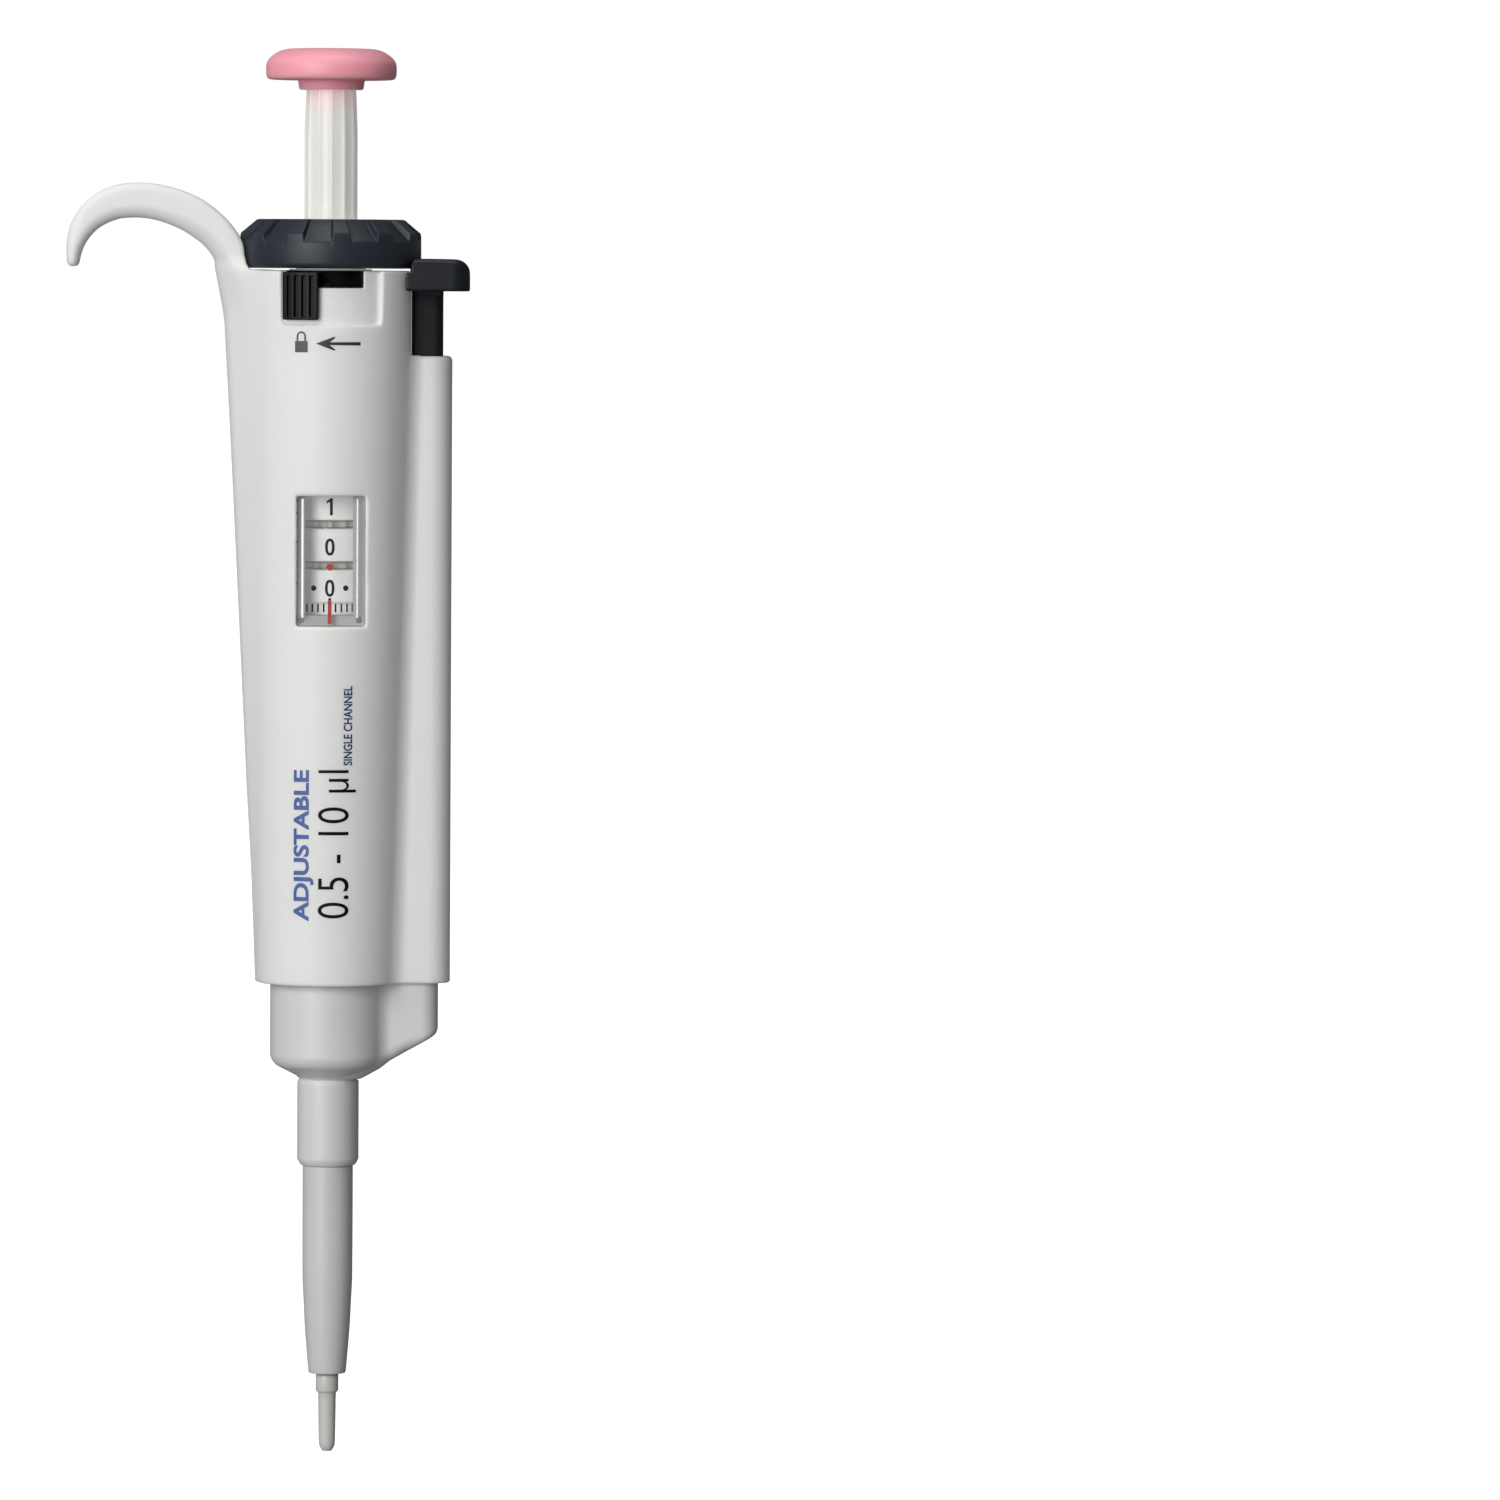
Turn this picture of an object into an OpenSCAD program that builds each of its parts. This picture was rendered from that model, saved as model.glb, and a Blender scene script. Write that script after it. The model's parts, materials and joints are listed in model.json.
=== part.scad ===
// Adjustable air-displacement micropipette, 0.5 to 10 microlitres.
// Millimetres. +Z up, origin at the centre of the nozzle's lower end.
// The display faces -Y, the finger hook is on -X and the tip ejector on +X.

/* [Handle] */
// Radius of the barrel at its lower edge
body_bottom_r = 13.0; // [12.8:0.1:13.4]
// Radius of the barrel under the dial ring
body_top_r = 15.9; // [15.6:0.1:16.1]
// Width of the finger hook where it leaves the barrel
hook_root_w = 12; // [10:0.5:13]
// Width of the finger hook at its tip
hook_tip_w = 8.4; // [7:0.2:10]

/* [Dial ring] */
// Outer radius of the volume dial
dial_r = 16.1; // [15.6:0.1:16.2]
// Number of grip ribs round the dial's shoulder
dial_ribs = 12; // [8:1:16]
// Angle that one rib takes up, in degrees
rib_angle = 11.5; // [8:0.5:18]

/* [Plunger] */
// Radius of the push button
button_r = 11.6; // [10:0.1:13]
// Outer radius of the fluted plunger rod
rod_r = 4.78; // [4.6:0.01:4.85]
// Number of flutes on the plunger rod
rod_flutes = 12; // [8:1:14]
// Depth of a flute
flute_d = 0.42; // [0.2:0.02:0.5]

/* [Counter] */
// Radius of the number drums
drum_r = 9.2; // [9.0:0.05:9.25]
// Teeth on a drum's carry gear
gear_teeth = 20; // [20:1:20]
// Teeth on a carry pinion
pinion_teeth = 8; // [8:1:8]

/* [Tip ejector] */
// Outer radius of the ejector's neck
neck_r = 5.5; // [5.4:0.05:5.7]
// Outer radius of the lower sleeve at its top
sleeve_r = 4.5; // [4.4:0.05:4.6]
// Outer radius of the lower sleeve at its end
sleeve_end_r = 3.35; // [3.3:0.05:3.6]

/* [Nozzle] */
// Radius of the cylindrical land that a disposable tip seats on
cone_r = 1.52; // [1.45:0.01:1.6]
// Radius of the air channel
air_r = 0.4; // [0.3:0.05:0.45]
// Radius of the piston
piston_r = 0.5; // [0.45:0.01:0.5]

/* [Hidden] */

body_z0 = 84;
body_z1 = 211;
channel_z1 = 195.9;
axle_x = -10.5;                       // carry axle's distance from the main axis
e = 0.01;

// Angles round the barrel are measured from the front (-Y) towards +X.
module sector(a0, a1, r0, r1, z0, z1, fn = 96)
    rotate([0, 0, a0 - 90])
        rotate_extrude(angle = a1 - a0, $fn = fn)
            translate([r0, z0]) square([r1 - r0, z1 - z0]);

module tube(r0, r1, z0, z1, fn = 64)
    translate([0, 0, z0]) difference() {
        cylinder(r = r1, h = z1 - z0, $fn = fn);
        translate([0, 0, -1]) cylinder(r = r0, h = z1 - z0 + 2, $fn = fn);
    }

module lathe(pts, fn = 96) rotate_extrude($fn = fn) polygon(pts);

// A rectangle with two rounded corners on its +X side.
module tab2d(x0, x1, w, r) {
    translate([x0, -w]) square([x1 - x0 - r, 2 * w]);
    translate([x0, -(w - r)]) square([x1 - x0, 2 * (w - r)]);
    for (s = [-1, 1]) translate([x1 - r, s * (w - r)]) circle(r = r, $fn = 48);
}

module round_rect2d(x0, x1, w, r) {
    translate([x0 + r, -w]) square([x1 - x0 - 2 * r, 2 * w]);
    translate([x0, -(w - r)]) square([x1 - x0, 2 * (w - r)]);
    for (s = [-1, 1]) for (x = [x0 + r, x1 - r]) translate([x, s * (w - r)]) circle(r = r, $fn = 32);
}

function gear_pts(n, rr, rt, a0 = 0) = [
    for (i = [0:n - 1]) for (k = [[-0.27, rr], [-0.13, rt], [0.13, rt], [0.27, rr]])
        let (a = a0 + (i + k[0]) * 360 / n) [k[1] * cos(a), k[1] * sin(a)]];

function flute_pts(r, n, d, steps = 8) = [
    for (i = [0:n * steps - 1])
        let (a = i * 360 / (n * steps), q = r - d * pow((1 + cos(n * (a + 74))) / 2, 1.5))
            [q * cos(a), q * sin(a)]];

// A coil spring with closed ends: centre radius R, wire radius w, from z0 to z1.
module coil(R, w, z0, z1, turns, seg = 14, sides = 6) {
    n = floor(turns * seg);
    function zz(t) = z0 + w + (z1 - z0 - 2 * w) * (t < 0.06 ? t * 0.35 : t > 0.94 ? 1 - (1 - t) * 0.35
                     : 0.021 + (t - 0.06) * (0.958 / 0.88));
    pts = [for (i = [0:n]) let (a = i * 360 / seg, z = zz(i / n))
           for (k = [0:sides - 1]) let (b = k * 360 / sides)
               [(R + w * cos(b)) * cos(a), (R + w * cos(b)) * sin(a), z + w * sin(b)]];
    faces = concat(
        [for (i = [0:n - 1]) for (k = [0:sides - 1]) let (k2 = (k + 1) % sides)
            [i * sides + k, i * sides + k2, (i + 1) * sides + k2, (i + 1) * sides + k]],
        [[for (k = [sides - 1:-1:0]) k]],
        [[for (k = [0:sides - 1]) n * sides + k]]);
    polyhedron(points = pts, faces = [for (f = faces) [for (j = [len(f) - 1:-1:0]) f[j]]], convexity = 10);
}

// ---- Handle --------------------------------------------------------------

// Stations of the finger hook: outer point X, Z and inner point X, Z.
hook_st = [[-13.0, 203, -18.9, 203], [-13.1, 206, -19.2, 206], [-13.2, 209.2, -19.5, 208.8],
           [-14.4, 212.2, -20.1, 211.3], [-15.2, 214.4, -21.0, 213.3], [-16.1, 217.0, -22.2, 214.9],
           [-17.5, 218.9, -23.5, 216.1], [-19.6, 221.0, -25.0, 217.1], [-22.1, 223.0, -26.9, 218.2],
           [-25.4, 224.6, -29.3, 219.1], [-29.0, 225.75, -32.0, 219.85], [-32.8, 226.3, -34.6, 220.1],
           [-36.4, 226.2, -36.9, 220.05], [-39.6, 225.4, -38.9, 219.6], [-42.3, 223.9, -40.8, 218.7],
           [-44.4, 221.8, -42.3, 217.4], [-45.8, 219.5, -43.4, 216.2], [-46.6, 216.8, -44.1, 214.8],
           [-46.85, 214.5, -44.4, 213.6], [-46.8, 212.7, -44.6, 212.5], [-46.3, 211.9, -45.0, 211.85]];

module hook(sides = 20) {
    n = len(hook_st);
    function pw(v, p) = sign(v) * pow(abs(v), p);
    pts = [for (i = [0:n - 1])
        let (s = hook_st[i], cx = (s[0] + s[2]) / 2, cz = (s[1] + s[3]) / 2,
             hx = (s[0] - s[2]) / 2, hz = (s[1] - s[3]) / 2,
             w = (i == n - 1 ? 0.55 : 1) * (hook_root_w + (hook_tip_w - hook_root_w) * min(1, i / 12)) / 2)
        for (k = [0:sides - 1]) let (a = k * 360 / sides, u = pw(cos(a), 0.75), v = pw(sin(a), 0.75))
            [cx + hx * u, w * v, cz + hz * u]];
    faces = concat(
        [for (i = [0:n - 2]) for (k = [0:sides - 1]) let (k2 = (k + 1) % sides)
            [i * sides + k, i * sides + k2, (i + 1) * sides + k2, (i + 1) * sides + k]],
        [[for (k = [sides - 1:-1:0]) k]],
        [[for (k = [0:sides - 1]) (n - 1) * sides + k]]);
    polyhedron(points = pts, faces = [for (f = faces) [for (j = [len(f) - 1:-1:0]) f[j]]], convexity = 6);
}

module barrel_outer() {
    lathe([[0, body_z0], [body_bottom_r, body_z0], [body_top_r, body_z1], [0, body_z1]]);
    // tapering spine that runs down under the hook
    hull() {
        translate([-7.6, 0, body_z0]) cylinder(r = 5.5, h = e, $fn = 48);
        translate([-13.9, 0, body_z1 - e]) cylinder(r = 5.5, h = e, $fn = 48);
        translate([-12.7, -2.35, body_z0]) cube([1, 4.7, e]);
        translate([-11.8, -10.45, body_z1 - e]) cube([1, 20.9, e]);
    }
    // ejector channel down the side
    translate([0, 0, body_z0]) linear_extrude(channel_z1 - body_z0) tab2d(8, 21.7, 5.5, 3.6);
}

module handle_body() color([0.86, 0.865, 0.86]) difference() {
    union() {
        barrel_outer();
        hook();
    }
    // bore of the barrel
    translate([0, 0, body_z0 - 0.1]) cylinder(r1 = 11.0, r2 = 12.6, h = 209 - body_z0 + 0.1, $fn = 96);
    // hole for the dial's bush
    translate([0, 0, 208]) cylinder(r = 7.4, h = 5, $fn = 64);
    // room for the dial ring beside the hook's root
    translate([0, 0, body_z1]) cylinder(r = 16.55, h = 12, $fn = 96);
    // ejector channel
    translate([0, 0, body_z0 - 1]) linear_extrude(126) round_rect2d(14.3, 20.4, 4.4, 2.0);
    translate([9, -4.4, body_z0 - 1]) cube([9, 8.8, 15]);
    // flat beside the ejector bar
    translate([14.3, -12, channel_z1]) cube([8, 24, 20]);
    // pocket for the carry pinions
    translate([axle_x, 0, 144]) cylinder(r = 4.3, h = 34, $fn = 48);
    // display opening
    translate([-5.9, -18, 148.0]) cube([12.2, 9, 23.1]);
    // recess and slot of the lock lever
    sector(-34, 35, 14.9, 19, 201.4, body_z1 + 0.1);
    sector(-32.1, 23, 9.4, 19, 207.9, body_z1 + 0.1);
}

module inner_frame() color([0.75, 0.76, 0.77]) difference() {
    union() {
        tube(7.6, 9.4, 101, 109);                         // collar the cylinder nut screws on
        tube(2.08, 11.25, 108.2, 111);                    // lower plate
        tube(5.1, 11.7, 144.5, 147.4);                    // plate under the counter
        tube(6.34, 12.1, 174.1, 176.6);                   // plate over the counter
        tube(6.34, 12.38, 196, 199);                      // top plate
        translate([-3, 9.5, 109]) cube([6, 1.3, 89]);     // back rail
        translate([9.5, -2.3, 109]) cube([1.3, 4.6, 89]); // right rail
        for (z = [144.2, 174.4]) translate([axle_x, 0, z]) cylinder(r = 2.0, h = 2.5, $fn = 32);
        sector(-33, -7, 9.65, 11.55, 198.5, 203);         // seat of the brake shoe
    }
    sector(-27.6, -12.4, 9, 12, 202.8, 204);
    for (z = [144, 174]) translate([axle_x, 0, z]) cylinder(r = 0.62, h = 4, $fn = 24);
}

module display_window() color([0.9, 0.95, 0.97, 0.35])
    translate([-5.8, -13.2, 148.1]) cube([12.0, 1.2, 22.9]);

module counter_bezel() color([0.78, 0.78, 0.78]) difference() {
    translate([-5.8, -11.95, 148.1]) cube([12.0, 2.35, 22.9]);
    translate([-4.35, -13, 149.9]) cube([8.45, 5, 21.2]);
    for (x = [-5.05, 5.25]) translate([x, -11.45, 149.1]) rotate([90, 0, 0]) cylinder(r = 0.57, h = 2, $fn = 24);
    for (x = [-5.05, 5.25]) translate([x, -9, 149.1]) rotate([90, 0, 0]) cylinder(r = 0.33, h = 4, $fn = 24);
}

module bezel_screws() color([0.7, 0.7, 0.7])
    for (x = [-5.05, 5.25]) translate([x, 0, 149.1]) rotate([90, 0, 0]) difference() {
        union() {
            translate([0, 0, 11.5]) cylinder(r = 0.53, h = 0.42, $fn = 24);
            translate([0, 0, 9.65]) cylinder(r = 0.3, h = 1.9, $fn = 24);
        }
        translate([-0.4, -0.08, 11.75]) cube([0.8, 0.16, 1]);
    }

module dial_bush() color([0.9, 0.9, 0.88]) lathe([[6.27, 208.7], [8.3, 208.7], [8.3, 208.95], [7.36, 208.95], [7.36, 211.15], [6.27, 211.15]], 64);

module carry_axle() color([0.75, 0.75, 0.76]) translate([axle_x, 0, 144.2]) cylinder(r = 0.6, h = 32.6, $fn = 24);

module brake_shoe() color([0.2, 0.2, 0.21]) sector(-27, -13, 9.5, 10.6, 202.9, 206.0, 64);

module cylinder_housing() color([0.62, 0.62, 0.62]) difference() {
    lathe([[0, 13.7], [1.9, 13.7], [2.3, 14.2], [3.3, 29.5], [3.3, 60], [4.0, 60.4], [4.0, 69.2], [8.2, 72.6],
           [8.2, 98], [9.35, 98], [9.35, 100.7], [7.5, 100.7], [7.5, 107.6], [0, 107.6]]);
    translate([0, 0, 75.2]) cylinder(r = 6.9, h = 40, $fn = 64);
    translate([0, 0, 74]) cylinder(r = 6.9, h = 2, $fn = 64);
    translate([0, 0, 46.5]) cylinder(r = 2.9, h = 30, $fn = 48);
    translate([0, 0, 24]) cylinder(r = piston_r + 0.06, h = 30, $fn = 32);
    translate([0, 0, 12]) cylinder(r = 1.42, h = 12.2, $fn = 32);
}

module cylinder_nut() color([0.8, 0.8, 0.78]) difference() {
    translate([0, 0, 96.6]) cylinder(r = 10.6, h = 11.2, $fn = 64);
    translate([0, 0, 90]) cylinder(r = 8.4, h = 12, $fn = 64);
    translate([0, 0, 97.9]) cylinder(r = 9.5, h = 20, $fn = 64);
    for (a = [0:20:359]) rotate([0, 0, a]) translate([10.6, 0, 96]) cylinder(r = 0.45, h = 13, $fn = 16);
}

module nozzle() color([0.72, 0.72, 0.71]) difference() {
    lathe([[0, 0], [1.05, 0], [1.3, 0.12], [1.46, 0.5], [cone_r, 1.1], [cone_r, 6.0], [1.64, 10.4], [1.72, 10.7],
           [2.02, 10.75], [2.12, 10.95], [2.12, 13.3], [2.0, 13.5], [1.38, 13.5], [1.38, 23.8], [0, 23.8]], 64);
    translate([0, 0, -1]) cylinder(r = air_r, h = 26, $fn = 24);
    translate([0, 0, -0.01]) cylinder(r1 = 0.75, r2 = air_r, h = 0.5, $fn = 32);
}

module piston_seal() color([0.95, 0.95, 0.95]) lathe([[0.53, 46.6], [2.0, 46.6], [2.6, 47.4], [2.6, 49.6], [0.53, 49.6]], 48);

module seal_ring() color([0.12, 0.12, 0.12]) translate([0, 0, 50.5]) rotate_extrude($fn = 48) translate([1.9, 0]) circle(r = 0.75, $fn = 24);

module seal_retainer() color([0.85, 0.85, 0.83]) lathe([[0.8, 51.4], [2.84, 51.4], [2.84, 74.05], [6.6, 74.05], [6.6, 75.1], [0.8, 75.1]], 48);

module return_spring() color([0.7, 0.7, 0.72]) coil(4.0, 0.35, 75.15, 103.9, 12.5);

module blowout_spring() color([0.7, 0.7, 0.72]) coil(5.65, 0.45, 75.15, 89.6, 5.5, 16);

module ejector_spring() color([0.7, 0.7, 0.72]) translate([17.2, 0, 0]) coil(2.35, 0.3, 104.1, 124.8, 11, 12);

module ejector_spring_seat() color([0.8, 0.8, 0.78]) difference() {
    translate([0, 0, 101.6]) linear_extrude(2.4) round_rect2d(14.35, 20.35, 4.35, 1.95);
    translate([17.2, 0, 100]) cylinder(r = 1.58, h = 6, $fn = 32);
}

// ---- Dial and what turns with it -----------------------------------------

module volume_dial() color([0.16, 0.18, 0.21]) difference() {
    lathe([[6.24, 220], [12.8, 220], [13.25, 219.9], [dial_r - 0.15, 217.55], [dial_r, 217.3], [dial_r, 212.0], [dial_r - 0.15, 211.6],
           [dial_r - 0.5, 211.3], [13.6, 211.3], [13.6, 216.0], [8.6, 216.0], [8.6, 211.5], [6.24, 211.5]]);
    // grooves between the grip ribs on the shoulder
    for (i = [0:dial_ribs - 1]) rotate([0, 0, i * 360 / dial_ribs - 90 + 6.7 + rib_angle / 2])
        rotate_extrude(angle = 360 / dial_ribs - rib_angle, $fn = 96)
            polygon([[11.13, 221], [17.1, 215.41], [17.1, 221]]);
}

module spline_sleeve() color([0.85, 0.85, 0.83]) difference() {
    lathe([[0, 173.7], [6.0, 173.7], [6.2, 174], [6.2, 206.4], [7.1, 206.4], [7.1, 208.4], [6.2, 208.4],
           [6.2, 219.8], [0, 219.8]], 64);
    translate([0, 0, 173.5]) linear_extrude(50) polygon(flute_pts(rod_r + 0.1, rod_flutes, flute_d));
}

module brake_ring() color([0.3, 0.31, 0.33]) tube(6.22, 9.42, 202.9, 206.2, 96);

module drive_tube() color([0.74, 0.74, 0.76]) difference() {
    lathe([[0, 149.6], [4.98, 149.6], [4.98, 173.0], [6.0, 173.0], [6.0, 173.6], [0, 173.6]], 64);
    translate([0, 0, 140]) cylinder(r = 2.3, h = 40, $fn = 48);
}

// A number drum: rounded rim, webs inside, gear ring below.
module drum(z0, z1, bore, gz0 = 0, a0 = 0) {
    difference() {
        union() {
            lathe([[0, z0], [drum_r - 0.2, z0], [drum_r, z0 + 0.2], [drum_r, z1 - 0.2], [drum_r - 0.2, z1], [0, z1]]);
            if (gz0 > 0) translate([0, 0, gz0]) linear_extrude(z0 - gz0 + 0.1) polygon(gear_pts(gear_teeth, 6.75, 8.15, a0));
        }
        translate([0, 0, z0 - 10]) cylinder(r = bore, h = 30, $fn = 64);
        // groove moulded round the upper edge
        difference() {
            translate([0, 0, z1 - 1.15]) cylinder(r = drum_r + 1, h = 0.22, $fn = 96);
            translate([0, 0, z1 - 2]) cylinder(r = drum_r - 0.15, h = 3, $fn = 96);
        }
    }
}

module units_drum() color([0.93, 0.93, 0.92]) difference() {
    union() {
        drum(152.0, 157.85, 5.0);
        translate([0, 0, 149.9]) cylinder(r = 8.35, h = 2.2, $fn = 96);
    }
    translate([0, 0, 140]) cylinder(r = 5.0, h = 30, $fn = 64);
    // hollow underneath
    difference() {
        translate([0, 0, 149]) cylinder(r = 7.6, h = 6.5, $fn = 64);
        translate([0, 0, 148]) cylinder(r = 5.9, h = 10, $fn = 64);
    }
}

module tens_drum() color([0.93, 0.93, 0.92]) drum(159.35, 165.15, 5.05, 158.0, 0);

module hundreds_drum() color([0.93, 0.93, 0.92]) drum(166.65, 172.6, 5.05, 165.3, 0);

module setting_screw() color([0.78, 0.68, 0.4]) difference() {
    union() {
        translate([0, 0, 114]) cylinder(r = 4.7, h = 35.5, $fn = 64);
        translate([0, 0, 143.6]) cylinder(r = 5.02, h = 5.9, $fn = 64);
        lathe([[4.0, 147.45], [5.9, 147.45], [5.9, 149.5], [4.0, 149.5]], 64);
        // thread crests, 1.27 apart
        for (i = [0:22]) translate([0, 0, 114.4 + i * 1.27])
            rotate_extrude($fn = 64) polygon([[4.5, 0], [5.45, 0.45], [5.45, 0.7], [4.5, 1.15]]);
    }
    translate([0, 0, 100]) cylinder(r = 2.3, h = 60, $fn = 48);
}

// The pinions stand half a tooth round, in mesh with the drums' gears.
module pinion(z0, z1) translate([axle_x, 0, z0]) difference() {
    linear_extrude(z1 - z0) polygon(gear_pts(pinion_teeth, 2.2, 3.55, 360 / pinion_teeth / 2));
    translate([0, 0, -1]) cylinder(r = 0.65, h = 5, $fn = 32);
}

module carry_pinion_lower() color([0.55, 0.56, 0.58]) pinion(158.08, 159.2);

module carry_pinion_upper() color([0.55, 0.56, 0.58]) pinion(165.38, 166.5);

module setting_nut() color([0.8, 0.7, 0.42]) difference() {
    union() {
        translate([0, 0, 118.6]) cylinder(r = 8.0, h = 8.2, $fn = 64);
        for (s = [-1, 1]) translate([6, s > 0 ? 2.45 : -4.05, 118.6]) cube([4.3, 1.6, 8.2]);
    }
    translate([0, 0, 110]) cylinder(r = 5.55, h = 30, $fn = 64);
}

module blowout_disc() color([0.75, 0.75, 0.76]) tube(4.75, 6.6, 89.7, 91.2);

// ---- Plunger --------------------------------------------------------------

module push_button() color([0.94, 0.63, 0.67]) difference() {
    lathe([[0, 250.15], [6.5, 250.28], [8.2, 250.22], [9.2, 249.9], [10.1, 249.4], [10.9, 248.75], [11.35, 248.1],
           [button_r, 247.3], [button_r + 0.02, 246.2], [button_r - 0.06, 245.3], [button_r - 0.3, 244.9], [button_r - 0.7, 244.75],
           [5.95, 244.75], [5.8, 244.4], [5.65, 243.3], [5.5, 243.0], [4.9, 243.0], [4.9, 243.6], [0, 243.6]]);
    translate([0, 0, 240]) cylinder(r = 3.62, h = 8.2, $fn = 48);
}

module plunger_rod() color([0.93, 0.92, 0.9]) difference() {
    union() {
        translate([0, 0, 191]) linear_extrude(52.5) polygon(flute_pts(rod_r, rod_flutes, flute_d));
        translate([0, 0, 243]) cylinder(r = 3.6, h = 5, $fn = 48);
    }
    translate([0, 0, 190]) cylinder(r = 2.02, h = 12, $fn = 48);
}

module spindle() color([0.72, 0.72, 0.74]) translate([0, 0, 108.05]) cylinder(r = 2.0, h = 93, $fn = 48);

module piston_head() color([0.85, 0.85, 0.83]) difference() {
    lathe([[0, 98], [1.3, 98], [1.6, 98.3], [1.6, 104], [5.3, 104], [5.5, 104.2], [5.5, 107.6], [5.2, 108], [0, 108]], 64);
    translate([0, 0, 97]) cylinder(r = piston_r + 0.01, h = 9, $fn = 32);
}

module piston() color([0.8, 0.8, 0.82]) translate([0, 0, 41.2]) cylinder(r = piston_r, h = 64.8, $fn = 32);

// ---- Lock -----------------------------------------------------------------

module lock_lever() color([0.1, 0.1, 0.11]) difference() {
    union() {
        sector(-31.9, -7.9, 15.0, 16.3, 202.2, 210.7);
        sector(-29, -11, 12.0, 15.4, 208.2, 210.7);
        sector(-38, 0, 11.75, 12.3, 203.4, 208.7);
        // cam that bears on the brake shoe
        sector(-27, -13, 10.65, 12.0, 203.4, 205.9);
    }
    // finger grooves
    for (i = [0:5]) sector(-30.2 + i * 3.9, -28.6 + i * 3.9, 15.95, 17, 202.8, 209.9, 96);
}

// ---- Tip ejector ----------------------------------------------------------

module ejector_button() color([0.16, 0.18, 0.21]) difference() {
    union() {
        translate([0, 0, 206.6]) linear_extrude(6.4) difference() {
            tab2d(11, 24.8, 8.8, 4.2);
            circle(r = 16.5, $fn = 128);
        }
        translate([14.75, -4.1, 206.6]) cube([4, 8.2, 4.2]);
    }
    // rounded outer top edge
    translate([0, -10, 206.6]) rotate([-90, 0, 0]) translate([20.6, -2.2]) difference() {
        translate([0, -4.5]) cube([5, 5, 20]);
        translate([0, 0, -1]) cylinder(r = 4.2, h = 22, $fn = 64);
    }
    // clearance under the dial ring
    translate([0, 0, 210.9]) cylinder(r = 16.6, h = 4, $fn = 96);
    translate([0, 0, 190]) linear_extrude(18.6) round_rect2d(14.68, 20.12, 4.12, 1.52);
}

module ejector_bar() color([0.12, 0.14, 0.15]) difference() {
    translate([0, 0, 125]) linear_extrude(83.5) round_rect2d(14.7, 20.1, 4.1, 1.5);
    translate([17.2, 0, 120]) cylinder(r = 1.52, h = 14, $fn = 32);
}

module ejector_shaft() color([0.72, 0.72, 0.74]) translate([17.2, 0, 80]) cylinder(r = 1.5, h = 53.8, $fn = 32);

module ejector_cup() color([0.8, 0.8, 0.79]) difference() {
    union() {
        hull() {
            translate([0, 0, 66.6]) cylinder(r = neck_r, h = e, $fn = 96);
            translate([0, 0, 70.0]) cylinder(r = 10.0, h = e, $fn = 96);
            translate([0, 0, 70.9]) cylinder(r = 10.4, h = 1, $fn = 96);
        }
        translate([0, 0, 70.9]) cylinder(r = 10.4, h = 25.1, $fn = 96);
        lathe([[0, 51.0], [neck_r - 0.5, 51.0], [neck_r - 0.35, 51.15], [neck_r, 52.2], [neck_r, 66.8], [0, 66.8]]);
        hull() {
            translate([0, 0, 66.7]) cylinder(r = 4.3, h = e, $fn = 48);
            translate([0, 0, 75.6]) linear_extrude(2) tab2d(9, 19.6, 4.25, 2.4);
            translate([0, 0, 74.9]) linear_extrude(1) tab2d(9, 18.8, 4.0, 2.2);
        }
        translate([0, 0, 76.5]) linear_extrude(12.5) tab2d(4, 19.6, 4.25, 2.4);
    }
    translate([0, 0, 71.4]) cylinder(r = 9.2, h = 30, $fn = 96);
    translate([0, 0, 68.0]) cylinder(r1 = 4.35, r2 = 9.2, h = 3.41, $fn = 96);
    translate([0, 0, 50]) cylinder(r = 4.35, h = 20, $fn = 64);
    translate([17.2, 0, 79.9]) cylinder(r = 1.52, h = 20, $fn = 32);
}

module ejector_sleeve() color([0.78, 0.78, 0.77]) difference() {
    lathe([[0, 13.9], [sleeve_end_r - 0.15, 13.9], [sleeve_end_r, 14.1], [3.95, 22.6], [4.25, 27.0], [4.4, 30.0], [4.48, 33.5], [sleeve_r, 38],
           [sleeve_r, 50.9], [4.3, 50.95], [4.3, 57.8], [4.1, 58.2], [0, 58.2]]);
    lathe([[0, 13], [2.62, 13], [2.62, 14], [3.45, 29.5], [3.55, 31], [3.55, 60], [0, 60]]);
}

handle_body();
inner_frame();
display_window();
counter_bezel();
bezel_screws();
dial_bush();
carry_axle();
brake_shoe();
cylinder_housing();
cylinder_nut();
nozzle();
piston_seal();
seal_ring();
seal_retainer();
return_spring();
blowout_spring();
ejector_spring();
ejector_spring_seat();
volume_dial();
spline_sleeve();
brake_ring();
drive_tube();
units_drum();
setting_screw();
tens_drum();
hundreds_drum();
carry_pinion_lower();
carry_pinion_upper();
setting_nut();
blowout_disc();
push_button();
plunger_rod();
spindle();
piston_head();
piston();
lock_lever();
ejector_button();
ejector_bar();
ejector_shaft();
ejector_cup();
ejector_sleeve();
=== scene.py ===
import bpy, bmesh, json, math
import numpy as np
from mathutils import Vector, Matrix


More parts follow.
